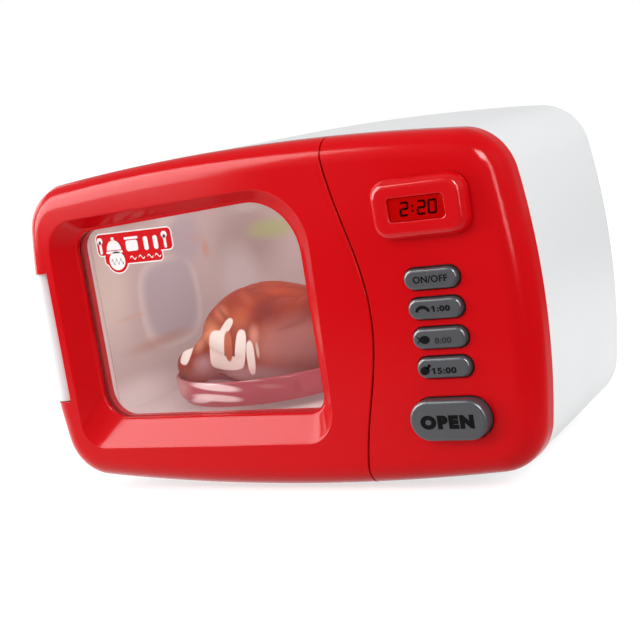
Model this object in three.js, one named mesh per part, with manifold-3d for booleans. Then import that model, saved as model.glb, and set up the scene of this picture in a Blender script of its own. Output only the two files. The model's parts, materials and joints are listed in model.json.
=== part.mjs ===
// Toy microwave: a red front with a hinged window door and push buttons on a white case,
// with a driven turntable, a light, a speaker and batteries inside.
//
// Sizes are in millimetres. Every piece is built in the case frame: X runs to the right,
// Y runs from the front plane (zero) to the back, Z runs up from the middle of the case.
// The outer group then stands the case on its feet, centred on the floor.

import * as THREE from 'three';
import { mergeVertices } from 'three/addons/utils/BufferGeometryUtils.js';
import Module from 'manifold-3d';

const wasm = await Module();
wasm.setup();

// Clearances
const gap = 0.3;
const runningGap = 0.4;
const overrun = 1;

// Outline of the case, a rectangle with bulged sides
const caseHalfWidth = 133.7;
const caseHalfHeight = 78.5;
const sideArcRadius = 340;
const topArcRadius = 1150;
const outlineCornerRadius = 23.7;
const sideArcSteps = 3;
const cornerArcSteps = 5;
const topArcSteps = 3;

// Red front
const bezelDepth = 16.3;
const bezelFillet = 11;
const bezelWall = 2.4;
const filletSteps = 4;
const seamInset = 87.9;
const seamBulge = 13.5;
const seamGap = 0.4;
const seamSteps = 20;

// White case behind it
const partingGap = 0.5;
const housingStep = 0.7;
const caseDepth = 150;
const backTaper = 13.2;
const backFillet = 16;
const housingWall = 2.6;
const frontPlateThickness = 2.4;

// Window and the bevelled recess round it; the rails are the door's width outside the window
const windowLeftRail = 30.7;
const windowRightRail = 21.3;
const windowBottomRail = 34.5;
const windowTopRailAtLeft = 29.3;
const windowTopRailAtRight = 23.5;
const windowRadiusTopLeft = 10;
const windowRadiusTopRight = 25;
const windowRadiusBottomRight = 8;
const windowRadiusBottomLeft = 13;
const recessMarginLeft = 11.3;
const recessMarginTopLeft = 7;
const recessMarginTopRight = 5.8;
const recessMarginRight = 10.4;
const recessMarginBottomRight = 7;
const recessMarginBottom = 13;
const recessRadiusTopLeft = 17;
const recessRadiusTopRight = 28;
const recessRadiusBottomRight = 16;
const recessRadiusBottomLeft = 12;
const recessDepth = 7.5;
const recessLand = 1.2;
const lipDepth = 2;
const paneOverlap = 3;
const paneSeat = 5;
const paneThickness = 2;
const cornerSteps = 5;

// Door back panel and its screws
const innerPanelThickness = 2.2;
const doorScrewLeftInset = 33.7;
const doorScrewRightInset = 25.8;
const doorScrewWallRoom = 7.2;
const doorBossRadius = 3.2;

// Hinge at the left of the door
const hingeInset = 7.7;
const hingeSetForward = 7.1;
const knuckleRadius = 7;
const notchReach = 7.4;
const notchTopInset = 46.5;
const notchBottomInset = 45;
const doorEdgeRadius = 7.2;
const hingeBossRadius = 4.4;
const hingePinRadius = 1.5;
const hingePinReach = 15;
const hingeArcSteps = 8;
const doorOpeningAngle = 100 * (Math.PI / 180);

// Cooking space
const cavityLeftInset = 26.7;
const cavitySeamInset = 30.8;
const cavityTopInset = 21;
const cavityBottomInset = 28.5;
const cavityBackInset = 13;
const cavityRadius = 8;
const linerWall = 2;
const linerFlangeWidth = 5;
const linerFlangeThickness = 1.6;
const cardThickness = 0.6;

// Turntable
const dishSideRoom = 8;
const dishFrontRoom = 7.5;
const dishBackRoom = 4;
const plateFootInset = 3;
const plateLift = 4;
const plateHeight = 13;
const plateWall = 2;
const plateFootHeight = 2;
const plateLipRound = 1.2;
const driveSquare = 9;
const driveBossRadius = 9;
const driveFlangeRadius = 11;
const driveFlangeThickness = 2.2;
const driveShaftRadius = 4;

// Food: its shape is given in shares of its half length, and it leaves some room in the dish
const chickenRoom = 10;
const chickenWidthShare = 0.725;
const chickenHeightShare = 0.675;
const chickenFlatShare = 0.125;
const legLengthShare = 0.6;
const legRadiusShare = 0.2625;
const legRiseShare = 0.175;
const legSpreadShare = 0.375;
const legMiddleShare = 0.3;
const legKnobRadiusShare = 0.125;
const legKnobReachShare = 0.57;
const wingLengthShare = 0.425;
const wingRadiusShare = 0.1625;
const wingSpreadShare = 0.6;
const wingSetBackShare = 0.255;
const wingTilt = 20 * (Math.PI / 180);
const legTilt = 22 * (Math.PI / 180);

// Gear train under the cooking space
const gearModule = 1.25;
const driveTeeth = 40;
const idlerTeeth = 34;
const compoundSmallTeeth = 10;
const compoundLargeTeeth = 32;
const pinionTeeth = 10;
const gearThickness = 6;
const largeGearThickness = 4.5;
const gearPlaneGap = 1;
const gearPinRadius = 1.5;
const gearBossRadius = 4;
const gearBossHeight = 3.9;
const addendumShare = 0.9;
const dedendumShare = 1.15;
const toothShare = 0.4;
const rootFillShare = 0.95;
const pressureAngle = 20 * (Math.PI / 180);
const traySetDown = 18.2;
const trayThickness = 2;
const traySideMargin = 2;
const trayMargin = 7;
const trayPostRadius = 3;
const bearingBossRadius = 7;
const bearingBossHeight = 3;

// Gear motor
const motorRadius = 11;
const motorHeight = 24;
const gearboxHalfWidth = 12.5;
const gearboxHeight = 8;
const motorEarReach = 20;
const motorEarThickness = 2.4;
const motorPostOffset = 17;
const motorShaftRadius = 1.5;
const motorLift = 2;

// Middle of the panel's buttons and display, from the case's right side
const panelMiddleInset = 42.2;

// Keypad buttons
const buttonCount = 4;
const keypadGap = 2.91;
const keypadSpareShare = 0.5956;
const buttonWidth = 26.7;
const buttonHeight = 9.8;
const buttonProud = 2.6;
const buttonRound = 1.1;
const buttonFlange = 0.9;
const buttonFlangeThickness = 1.2;
const buttonTravel = 1.2;
const buttonStemRadius = 2;
const buttonStemLength = 2;
const stadiumSteps = 6;

// Circuit board behind the buttons
const boardHalfWidth = 19;
const boardThickness = 1.6;
const boardMargin = 10;
const boardSpringRoom = 4.5;
const switchHalfSize = 3;
const switchHeight = 3.1;
const boardBossRadius = 2.6;
const boardScrewInset = 4;

// Display at the top of the panel
const displayRiseShare = 0.5605;
const displayWidth = 45;
const displayHeight = 26;
const displayProud = 6;
const displaySlope = 4;
const displaySlopeShares = [[0.1875, 0.5], [0.5, 0.8333], [1, 1]];
const displayRadius = 8;
const displayWall = 2.2;
const displayWindowWidth = 26;
const displayWindowHeight = 10;
const displayWindowRadius = 1.5;
const displayPaneThickness = 1.5;
const displayPaneOverlap = 1.6;
const displayNeckInset = 4.5;
const displayCardThickness = 0.5;
const displayRidge = 0.8;
const displayRidgeThickness = 1.2;

// Button that opens the door, and the latch that it works
const openDropShare = 0.5924;
const openWidth = 35.7;
const openHeight = 17.7;
const openProud = 6;
const openTravel = 3;
const openRound = 1.6;
const openStemHalf = 4;
const openStemTail = 5.8;
const latchThickness = 2.4;
const latchHalfHeight = 7;
const latchNoseLength = 4.6;
const latchNoseHalfHeight = 3.2;
const latchEnd = 4.5;
const tongueSeamInset = 3.8;
const tongueThickness = 2.5;
const tongueHalfHeight = 5;
const tongueTail = 3.2;
const tongueSlotSpare = 1.7;
const railHeight = 2;
const railLip = 1.6;
const railLipThickness = 1.8;
const railStartReach = 36.5;
const railEndReach = 11.5;
const springWire = 0.6;
const openSpringRadius = 7;
const latchSpringRadius = 2.2;
const latchSpringLength = 9;
const springTurns = 4;
const springSteps = 8;
const springSides = 5;
const stopThickness = 2.4;
const latchSpringLift = 1.5;

// Screws
const screwShaftRadius = 1.3;
const screwHeadRadius = 2.6;
const screwHeadHeight = 1.6;
const screwSlotWidth = 0.8;
const screwSlotDepth = 0.8;
const slotShare = 0.75;
const caseScrewSideInset = 38.7;
const caseScrewTopInset = 13;
const caseScrewLatchRoom = 1;
const caseScrewLength = 16;
const casePostRadius = 5;
const caseSeatY = 62;
const caseSeatThickness = 3;
const panelScrewLength = 11;
const doorScrewLength = 7.5;
const boardScrewLength = 5;
const panelBossRadius = 3.4;
const panelBossSeamInset = 15.2;
const panelBossRowInset = 12.5;
const panelBossRightInset = 11.7;

// Feet
const footSideInset = 71.7;
const footFrontRoom = 5;
const footBackRoom = 8;
const footRadius = 8;
const footReach = 2;
const footPlugRadius = 2.4;
const footPlugHeight = 5;
const padRound = 0.8;

// Batteries, their box and its cover on the back
const batteryRadius = 7.25;
const batteryLength = 49.2;
const batteryNubRadius = 2.7;
const batteryNubLength = 1.3;
const batteryCount = 3;
const batteryPitch = 15.2;
const batterySideInset = 73.7;
const batterySpareShare = 0.43;
const batteryBoxWall = 1.6;
const batteryEndRoom = 3;
const contactThickness = 0.8;
const contactHalfWidth = 6.6;
const coverThickness = 2;
const coverLedge = 3;
const coverHookHalf = 4;
const coverHookShare = 0.6;
const coverTabHalf = 6;
const coverScrewLength = 8;

// Speaker behind its slots
const speakerSpareShare = 0.19;
const speakerRadius = 16;
const speakerRimThickness = 2;
const speakerConeDepth = 6;
const speakerMagnetRadius = 9;
const speakerMagnetDepth = 5;
const grilleSlots = 6;
const grilleSlotWidth = 2;
const grillePitch = 5;
const grilleMargin = 3;

// Lamp in the ceiling of the cooking space
const lampSideInset = 27;
const lampFrontInset = 36.5;
const lampRadius = 4;
const lampFlangeRadius = 6;
const lampFlangeThickness = 2;
const lampBodyHeight = 6;
const lampDrop = 2.5;

const roundSides = 20;
const smallSides = 10;
const shaftSides = 8;

// Places that follow from the sizes above
const seamEdge = caseHalfWidth - seamInset;
const windowLeft = windowLeftRail - caseHalfWidth;
const windowRight = seamEdge - windowRightRail;
const windowBottom = windowBottomRail - caseHalfHeight;
const windowTopAtLeft = caseHalfHeight - windowTopRailAtLeft;
const windowTopAtRight = caseHalfHeight - windowTopRailAtRight;
const hingeAxisX = hingeInset - caseHalfWidth;
const hingeAxisY = bezelDepth - hingeSetForward;
const notchTop = caseHalfHeight - notchTopInset;
const notchBottom = notchBottomInset - caseHalfHeight;
const frontPlateY = bezelDepth + partingGap;
const behindPlate = frontPlateY + frontPlateThickness;
const housingHalfWidth = caseHalfWidth - housingStep;
const housingHalfHeight = caseHalfHeight - (housingStep / 2);
const backHalfWidth = housingHalfWidth - backTaper;
const panelBehindWall = bezelWall + gap;
const paneFront = recessDepth + lipDepth + gap;
const paneBack = paneFront + paneThickness;
const innerPanelBack = bezelDepth - gap;
const innerPanelFront = innerPanelBack - innerPanelThickness;
const linerFront = behindPlate + gap;
const cavityLeft = cavityLeftInset - caseHalfWidth;
const cavityRight = seamEdge - cavitySeamInset;
const cavityCentreX = (cavityLeft + cavityRight) / 2;
const cavityHalfWidth = (cavityRight - cavityLeft) / 2;
const cavityTop = caseHalfHeight - cavityTopInset;
const cavityBottom = cavityBottomInset - caseHalfHeight;
const cavityBack = caseDepth - cavityBackInset;
const dishDepthRoom = cavityBack - linerFront - dishFrontRoom - dishBackRoom;
const plateRadius = Math.min(cavityHalfWidth - dishSideRoom, dishDepthRoom / 2);
const plateFootRadius = plateRadius - plateFootInset;
const plateBottom = cavityBottom + plateLift;
const turntableY = cavityBack - dishBackRoom - plateRadius;
const chickenHalfLength = plateFootRadius - chickenRoom;
const lampX = cavityRight - lampSideInset;
const lampY = linerFront + lampFrontInset;
const floorUnderside = cavityBottom - linerWall;
const trayTop = floorUnderside - traySetDown;
const gearBottom = trayTop + gearBossHeight + gap;
const gearTop = gearBottom + gearThickness;
const largeGearBottom = gearTop + gearPlaneGap;
const largeGearTop = largeGearBottom + largeGearThickness;
const pitchRadius = (teeth) => (gearModule * teeth) / 2;
const idlerX = cavityCentreX + pitchRadius(driveTeeth) + pitchRadius(idlerTeeth);
const compoundX = idlerX + pitchRadius(idlerTeeth) + pitchRadius(compoundSmallTeeth);
const motorX = compoundX + pitchRadius(compoundLargeTeeth) + pitchRadius(pinionTeeth);
const trayHalfDepth = pitchRadius(driveTeeth) + traySideMargin;
const latchFront = behindPlate + gap;
const latchBack = latchFront + latchThickness;
const backInside = caseDepth - housingWall;
const panelMiddleX = caseHalfWidth - panelMiddleInset;
const displayZ = caseHalfHeight * displayRiseShare;
const openZ = -caseHalfHeight * openDropShare;
const openX = panelMiddleX;
const buttonPitch = buttonHeight + keypadGap;
const keypadHeight = (buttonCount * buttonPitch) - keypadGap;
const displayUnderside = displayZ - (displayHeight / 2);
const keypadSpare = displayUnderside - (openZ + (openHeight / 2)) - keypadHeight;
const buttonTop = displayUnderside - (keypadSpare * keypadSpareShare) - (buttonHeight / 2);
const buttonFlangeBack = panelBehindWall + buttonFlangeThickness;
const switchFront = buttonFlangeBack + buttonStemLength + buttonTravel + gap;
const boardFront = switchFront + switchHeight;
const tongueX = seamEdge - tongueSeamInset;
const batteryBoxX = caseHalfWidth - batterySideInset;
const batteryHalfX = (batteryLength / 2) + batteryEndRoom + batteryBoxWall;
const batteryHalfZ = ((batteryCount * batteryPitch) / 2) + batteryBoxWall;
const coverScrewReach = batteryHalfZ + doorBossRadius + gap;
const coverTopReach = coverScrewReach + coverTabHalf;
const speakerReach = speakerRadius + gap + bezelWall;
const backFlatHalf = housingHalfHeight - backFillet;
const backSpare = (2 * (backFlatHalf - speakerReach)) - batteryHalfZ - coverTopReach;
const batteryBoxZ = backFlatHalf - coverTopReach - (backSpare * batterySpareShare);
const coverScrewZ = batteryBoxZ + coverScrewReach;
const speakerX = batteryBoxX;
const speakerZ = speakerReach + (backSpare * speakerSpareShare) - backFlatHalf;

// Finishes
const redPlastic = { color: 0xcc0c1a, roughness: 0.22, metalness: 0 };
const whitePlastic = { color: 0xeaebec, roughness: 0.35, metalness: 0 };
const greyPlastic = { color: 0xb9a9a8, roughness: 0.5, metalness: 0 };
const darkGreyPlastic = { color: 0x57585b, roughness: 0.45, metalness: 0 };
const buttonGrey = { color: 0x5a5b5f, roughness: 0.35, metalness: 0 };
const clearPlastic = { color: 0xd8ccce, roughness: 0.08, metalness: 0, opacity: 0.4, transparent: true };
const darkRedPlastic = { color: 0xaa0d0d, roughness: 0.15, metalness: 0 };
const blackRubber = { color: 0x232325, roughness: 0.8, metalness: 0 };
const steel = { color: 0xb6b8bb, roughness: 0.35, metalness: 1 };
const gearPlastic = { color: 0xf2efe4, roughness: 0.5, metalness: 0 };
const printedCard = { color: 0xc3b6b4, roughness: 0.7, metalness: 0 };
const roastOrange = { color: 0xc8642b, roughness: 0.3, metalness: 0 };
const boardGreen = { color: 0x1f6b3a, roughness: 0.5, metalness: 0 };
const batteryJacket = { color: 0x2f4f8f, roughness: 0.4, metalness: 0.2 };

// Closed geometry as a solid for cutting and joining
function solid(geometry) {
  const bare = geometry.clone();
  bare.deleteAttribute('normal');
  bare.deleteAttribute('uv');
  const merged = mergeVertices(bare);
  const places = new Float32Array(merged.attributes.position.array);
  const faces = new Uint32Array(merged.index.array);
  return new wasm.Manifold(new wasm.Mesh({ numProp: 3, vertProperties: places, triVerts: faces }));
}

// Solid back to geometry
function geometryOf(body) {
  const faces = body.getMesh();
  const geometry = new THREE.BufferGeometry();
  geometry.setAttribute('position', new THREE.BufferAttribute(faces.vertProperties, faces.numProp));
  geometry.setIndex(new THREE.BufferAttribute(faces.triVerts, 1));
  const flat = geometry.toNonIndexed();
  flat.computeVertexNormals();
  return flat;
}

function joined(...bodies) {
  return bodies.reduce((whole, body) => whole.add(body));
}

function cut(whole, ...bodies) {
  return bodies.reduce((rest, body) => rest.subtract(body), whole);
}

// Closed body through rings of equally many points; each end is closed round its middle
function loft(rings) {
  const count = rings[0].length;
  const places = [];
  rings.flat().forEach((point) => places.push(point.x, point.y, point.z));
  const faces = [];
  for (let ring = 0; ring + 1 < rings.length; ring += 1) {
    for (let i = 0; i < count; i += 1) {
      const next = (i + 1) % count;
      const a = (ring * count) + i;
      const b = (ring * count) + next;
      const c = a + count;
      const d = b + count;
      faces.push(a, c, b, b, c, d);
    }
  }
  const first = places.length / 3;
  [rings[0], rings[rings.length - 1]].forEach((ring) => {
    const middle = ring.reduce((sum, point) => sum.clone().add(point), new THREE.Vector3());
    middle.divideScalar(count);
    places.push(middle.x, middle.y, middle.z);
  });
  const lastRing = (rings.length - 1) * count;
  for (let i = 0; i < count; i += 1) {
    const next = (i + 1) % count;
    faces.push(first, i, next);
    faces.push(first + 1, lastRing + next, lastRing + i);
  }
  const geometry = new THREE.BufferGeometry();
  geometry.setAttribute('position', new THREE.Float32BufferAttribute(places, 3));
  geometry.setIndex(signedVolume(places, faces) < 0 ? faces.reverse() : faces);
  return geometry;
}

function signedVolume(places, faces) {
  const point = (index) => new THREE.Vector3().fromArray(places, 3 * index);
  let volume = 0;
  for (let i = 0; i < faces.length; i += 3) {
    volume += point(faces[i]).dot(point(faces[i + 1]).cross(point(faces[i + 2])));
  }
  return volume;
}

// Outline points lie in the XZ plane; this sets them at a depth
function ringAt(outline, y) {
  return outline.map((point) => new THREE.Vector3(point.x, y, point.y));
}

// Flat piece of one outline between two depths
function slab(outline, yFront, yBack) {
  return solid(loft([ringAt(outline, yFront), ringAt(outline, yBack)]));
}

function block(xStart, xEnd, yStart, yEnd, zStart, zEnd) {
  const geometry = new THREE.BoxGeometry(xEnd - xStart, yEnd - yStart, zEnd - zStart);
  geometry.translate((xStart + xEnd) / 2, (yStart + yEnd) / 2, (zStart + zEnd) / 2);
  return solid(geometry);
}

function barAlongX(radius, y, z, xStart, xEnd, sides = roundSides) {
  const geometry = new THREE.CylinderGeometry(radius, radius, xEnd - xStart, sides);
  geometry.rotateZ(Math.PI / 2);
  geometry.translate((xStart + xEnd) / 2, y, z);
  return solid(geometry);
}

function barAlongY(radius, x, z, yStart, yEnd, sides = roundSides) {
  const geometry = new THREE.CylinderGeometry(radius, radius, yEnd - yStart, sides);
  geometry.translate(x, (yStart + yEnd) / 2, z);
  return solid(geometry);
}

function barAlongZ(radius, x, y, zStart, zEnd, sides = roundSides) {
  const geometry = new THREE.CylinderGeometry(radius, radius, zEnd - zStart, sides);
  geometry.rotateX(Math.PI / 2);
  geometry.translate(x, y, (zStart + zEnd) / 2);
  return solid(geometry);
}

// Arc points about a centre, both ends included
function arc(centreX, centreZ, radius, fromAngle, toAngle, steps) {
  const points = [];
  for (let i = 0; i <= steps; i += 1) {
    const angle = fromAngle + (((toAngle - fromAngle) * i) / steps);
    const x = centreX + (radius * Math.cos(angle));
    const z = centreZ + (radius * Math.sin(angle));
    points.push(new THREE.Vector2(x, z));
  }
  return points;
}

// Case outline: side arc, corner arc and top arc meet smoothly; inset moves all of it inwards
function caseOutline(halfWidth, halfHeight, inset) {
  const sideCentreX = halfWidth - sideArcRadius;
  const topCentreZ = halfHeight - topArcRadius;
  const sideReach = sideArcRadius - outlineCornerRadius;
  const topReach = topArcRadius - outlineCornerRadius;
  const apart = Math.hypot(sideCentreX, topCentreZ);
  const along = ((sideReach ** 2) - (topReach ** 2) + (apart ** 2)) / (2 * apart);
  const across = Math.sqrt((sideReach ** 2) - (along ** 2));
  const toTopX = -sideCentreX / apart;
  const toTopZ = topCentreZ / apart;
  const cornerX = sideCentreX + (along * toTopX) - (across * toTopZ);
  const cornerZ = (along * toTopZ) + (across * toTopX);
  const sideAngle = Math.atan2(cornerZ, cornerX - sideCentreX);
  const topAngle = Math.atan2(cornerZ - topCentreZ, cornerX);
  const quarter = [
    ...arc(sideCentreX, 0, sideArcRadius - inset, 0, sideAngle, sideArcSteps),
    ...arc(cornerX, cornerZ, outlineCornerRadius - inset, sideAngle, topAngle, cornerArcSteps).slice(1),
    ...arc(0, topCentreZ, topArcRadius - inset, topAngle, Math.PI / 2, topArcSteps).slice(1),
  ];
  const back = quarter.slice(0, -1).reverse();
  const left = back.map((point) => new THREE.Vector2(-point.x, point.y));
  const lowerLeft = quarter.slice(1).map((point) => new THREE.Vector2(-point.x, -point.y));
  const lowerRight = back.slice(0, -1).map((point) => new THREE.Vector2(point.x, -point.y));
  return [...quarter, ...left, ...lowerLeft, ...lowerRight];
}

// Closed front body with its rounded edge, from the front plane back to a depth
function frontBody(inset, yFront, yBack) {
  const fillet = bezelFillet - inset;
  const rings = [];
  for (let i = 0; i <= filletSteps; i += 1) {
    const angle = (Math.PI / 2) * (1 - (i / filletSteps));
    const turnIn = inset + (fillet * (1 - Math.cos(angle)));
    const y = yFront + (fillet * (1 - Math.sin(angle)));
    rings.push(ringAt(caseOutline(caseHalfWidth, caseHalfHeight, turnIn), y));
  }
  rings.push(ringAt(caseOutline(caseHalfWidth, caseHalfHeight, inset), yBack));
  return solid(loft(rings));
}

// Closed case body with its taper and rounded back edge
function housingBody(inset, yFront, yBack) {
  const fillet = backFillet - inset;
  const rings = [ringAt(caseOutline(housingHalfWidth, housingHalfHeight, inset), yFront)];
  for (let i = 0; i <= filletSteps; i += 1) {
    const angle = (Math.PI / 2) * (i / filletSteps);
    const turnIn = inset + (fillet * (1 - Math.cos(angle)));
    const y = (yBack - fillet) + (fillet * Math.sin(angle));
    rings.push(ringAt(caseOutline(backHalfWidth, housingHalfHeight, turnIn), y));
  }
  return solid(loft(rings));
}

// Everything on one side of the curved seam between door and panel
function seamSide(direction, offset) {
  const far = direction * (caseHalfWidth + bezelFillet);
  const reach = caseHalfHeight + bezelFillet;
  const outline = [];
  for (let i = 0; i <= seamSteps; i += 1) {
    const share = ((2 * i) / seamSteps) - 1;
    const z = share * reach;
    const swell = Math.cos(Math.PI * Math.min(1, Math.abs(z) / caseHalfHeight));
    const x = seamEdge + (seamBulge * ((1 + swell) / 2)) + (direction * offset);
    outline.push(new THREE.Vector2(x, z));
  }
  outline.push(new THREE.Vector2(far, reach), new THREE.Vector2(far, -reach));
  const depth = bezelDepth + (2 * bezelFillet);
  const geometry = new THREE.ExtrudeGeometry(new THREE.Shape(outline), { depth, bevelEnabled: false });
  geometry.rotateX(Math.PI / 2);
  geometry.translate(0, bezelDepth + bezelFillet, 0);
  return solid(geometry);
}

// Outline of four corners, each with its own radius, going round from the top right
function roundedOutline(corners) {
  const points = [];
  corners.forEach((corner, i) => {
    const before = corners[(i + corners.length - 1) % corners.length].place;
    const after = corners[(i + 1) % corners.length].place;
    const toBefore = before.clone().sub(corner.place).normalize();
    const toAfter = after.clone().sub(corner.place).normalize();
    const halfAngle = Math.acos(toBefore.dot(toAfter)) / 2;
    const middle = toBefore.clone().add(toAfter).normalize();
    const centre = corner.place.clone().addScaledVector(middle, corner.radius / Math.sin(halfAngle));
    const tangent = corner.radius / Math.tan(halfAngle);
    const start = corner.place.clone().addScaledVector(toBefore, tangent).sub(centre).angle();
    const turn = Math.PI - (2 * halfAngle);
    points.push(...arc(centre.x, centre.y, corner.radius, start, start + turn, cornerSteps));
  });
  return points;
}

// Window outline, moved outwards by a margin
function windowOutline(margin) {
  const corner = (x, z, radius) => ({ place: new THREE.Vector2(x, z), radius: radius + margin });
  return roundedOutline([
    corner(windowRight + margin, windowTopAtRight + margin, windowRadiusTopRight),
    corner(windowLeft - margin, windowTopAtLeft + margin, windowRadiusTopLeft),
    corner(windowLeft - margin, windowBottom - margin, windowRadiusBottomLeft),
    corner(windowRight + margin, windowBottom - margin, windowRadiusBottomRight),
  ]);
}

// Outer edge of the recess, on the front plane
function recessOutline(margin) {
  const left = windowLeft - recessMarginLeft - margin;
  const right = windowRight + recessMarginRight + margin;
  const bottom = windowBottom - recessMarginBottom - margin;
  const bottomRight = windowRight + recessMarginBottomRight + margin;
  const corner = (x, z, radius) => ({ place: new THREE.Vector2(x, z), radius: radius + margin });
  return roundedOutline([
    corner(right, windowTopAtRight + recessMarginTopRight + margin, recessRadiusTopRight),
    corner(left, windowTopAtLeft + recessMarginTopLeft + margin, recessRadiusTopLeft),
    corner(left, bottom, recessRadiusBottomLeft),
    corner(bottomRight, bottom, recessRadiusBottomRight),
  ]);
}

function rectangleOutline(x, z, width, height, radius) {
  const halfWidth = width / 2;
  const halfHeight = height / 2;
  return roundedOutline([
    { place: new THREE.Vector2(x + halfWidth, z + halfHeight), radius },
    { place: new THREE.Vector2(x - halfWidth, z + halfHeight), radius },
    { place: new THREE.Vector2(x - halfWidth, z - halfHeight), radius },
    { place: new THREE.Vector2(x + halfWidth, z - halfHeight), radius },
  ]);
}

function stadiumOutline(x, z, width, height) {
  const radius = height / 2;
  const straight = (width / 2) - radius;
  return [
    ...arc(x + straight, z, radius, -Math.PI / 2, Math.PI / 2, stadiumSteps),
    ...arc(x - straight, z, radius, Math.PI / 2, (3 * Math.PI) / 2, stadiumSteps),
  ];
}

function cavityOutline(margin) {
  const width = 2 * (cavityHalfWidth + margin);
  const height = (cavityTop - cavityBottom) + (2 * margin);
  const middle = (cavityTop + cavityBottom) / 2;
  return rectangleOutline(cavityCentreX, middle, width, height, cavityRadius + margin);
}

// Lathe body about an upright axis, from a profile of radius and height
function turned(profile, sides = roundSides) {
  const geometry = new THREE.LatheGeometry(profile.map(([radius, z]) => new THREE.Vector2(radius, z)), sides);
  geometry.rotateX(Math.PI / 2);
  return solid(geometry);
}

// Coil spring along Y, starting at zero
function coilSpring(radius, length) {
  const points = [];
  const steps = springTurns * springSteps;
  for (let i = 0; i <= steps; i += 1) {
    const angle = (2 * Math.PI * i) / springSteps;
    const y = springWire + ((length - (2 * springWire)) * (i / steps));
    points.push(new THREE.Vector3(radius * Math.cos(angle), y, radius * Math.sin(angle)));
  }
  const section = new THREE.Shape(arc(0, 0, springWire, 0, 2 * Math.PI, springSides).slice(0, -1));
  const path = new THREE.CatmullRomCurve3(points);
  return new THREE.ExtrudeGeometry(section, { extrudePath: path, steps, bevelEnabled: false });
}

// Spur gear from zero upwards, with a tooth at the given angle
function spurGear(teeth, thickness, toothAngle) {
  const pitch = pitchRadius(teeth);
  const pitchHalf = (toothShare * Math.PI * gearModule) / 2;
  const tipHalf = pitchHalf - (addendumShare * gearModule * Math.tan(pressureAngle));
  const rootHalf = pitchHalf + (dedendumShare * gearModule * Math.tan(pressureAngle));
  const tip = pitch + (addendumShare * gearModule);
  const foot = pitch - (dedendumShare * gearModule);
  const footAngle = Math.min(rootHalf / foot, (Math.PI / teeth) * rootFillShare);
  const outline = [];
  for (let i = 0; i < teeth; i += 1) {
    const middle = toothAngle + ((2 * Math.PI * i) / teeth);
    [[foot, -footAngle], [tip, -tipHalf / tip], [tip, tipHalf / tip], [foot, footAngle]]
      .forEach(([radius, turn]) => {
        const angle = middle + turn;
        outline.push(new THREE.Vector2(radius * Math.cos(angle), radius * Math.sin(angle)));
      });
  }
  const shape = new THREE.Shape(outline);
  return solid(new THREE.ExtrudeGeometry(shape, { depth: thickness, bevelEnabled: false }));
}

// Angle of a tooth on a gear that meshes, towards +X, with a gear that has one at the given angle
function meshAngle(teeth, drivingTeeth, drivingAngle) {
  const phase = (-drivingAngle * drivingTeeth) / (2 * Math.PI);
  return Math.PI + (((phase - (1 / 2)) * 2 * Math.PI) / teeth);
}

// Screw along Y: the head's slotted face is at zero and the shaft points to -Y
function screw(length) {
  const head = barAlongY(screwHeadRadius, 0, 0, -screwHeadHeight, 0, smallSides);
  const tip = -(screwHeadHeight + length);
  const shaft = barAlongY(screwShaftRadius, 0, 0, tip, -screwHeadHeight / 2, shaftSides);
  const half = screwSlotWidth / 2;
  const reach = screwHeadRadius * slotShare;
  const slot = block(-half, half, -screwSlotDepth, overrun, -reach, reach);
  return geometryOf(cut(joined(head, shaft), slot));
}

const root = new THREE.Group();

function place(name, piece, finish, position = [0, 0, 0]) {
  const geometry = piece.isBufferGeometry ? piece : geometryOf(piece);
  const mesh = new THREE.Mesh(geometry, new THREE.MeshStandardMaterial(finish));
  mesh.name = name;
  mesh.position.set(...position);
  root.add(mesh);
}

// Half-width of the white case at a depth, where it narrows towards the back
function housingHalfWidthAt(y) {
  const narrowing = (y - frontPlateY) / (caseDepth - backFillet - frontPlateY);
  return housingHalfWidth - (backTaper * narrowing);
}

// White case, open at the front
function rearHousing() {
  const outside = housingBody(0, frontPlateY, caseDepth);
  const shell = cut(outside, housingBody(housingWall, frontPlateY - overrun, backInside));
  const posts = casePostPlaces().map(([x, z]) => (
    barAlongY(casePostRadius, x, z, caseSeatY, backInside, smallSides).intersect(outside)
  ));
  const wellFront = caseSeatY + caseSeatThickness;
  const wells = casePostPlaces().flatMap(([x, z]) => [
    barAlongY(screwHeadRadius + runningGap, x, z, wellFront, caseDepth + overrun, smallSides),
    barAlongY(screwShaftRadius + runningGap, x, z, caseSeatY - overrun, caseDepth, smallSides),
  ]);
  const underneath = -(caseHalfHeight + overrun);
  const plugHoles = footPlaces().map(([x, y]) => (
    barAlongZ(footPlugRadius + gap, x, y, underneath, -(caseHalfHeight - backFillet), smallSides)
  ));
  const slots = [];
  for (let i = 0; i < grilleSlots; i += 1) {
    const offset = (i - ((grilleSlots - 1) / 2)) * grillePitch;
    const half = Math.sqrt(((speakerRadius - grilleMargin) ** 2) - (offset ** 2));
    const z = speakerZ + offset;
    const slotHalf = grilleSlotWidth / 2;
    slots.push(block(speakerX - half, speakerX + half, backInside - overrun, caseDepth + overrun,
      z - slotHalf, z + slotHalf));
  }
  const opening = block(
    batteryBoxX - batteryHalfX - gap, batteryBoxX + batteryHalfX + gap,
    backInside - overrun, caseDepth + overrun,
    batteryBoxZ - batteryHalfZ - gap, batteryBoxZ + batteryHalfZ + gap,
  );
  const tabOpening = block(
    batteryBoxX - coverTabHalf - gap, batteryBoxX + coverTabHalf + gap,
    backInside - overrun, caseDepth + overrun,
    batteryBoxZ, batteryBoxZ + coverTopReach + gap,
  );
  const rim = cut(
    barAlongY(speakerReach, speakerX, speakerZ, backInside - speakerRimThickness, caseDepth),
    barAlongY(speakerRadius + gap, speakerX, speakerZ, backInside - bezelWall, backInside),
  );
  return cut(joined(shell, ...posts, rim), ...wells, ...plugHoles, ...slots, opening, tabOpening);
}

// How far the curved top lies below its middle
function topDrop(x) {
  return (x ** 2) / (2 * topArcRadius);
}

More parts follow.
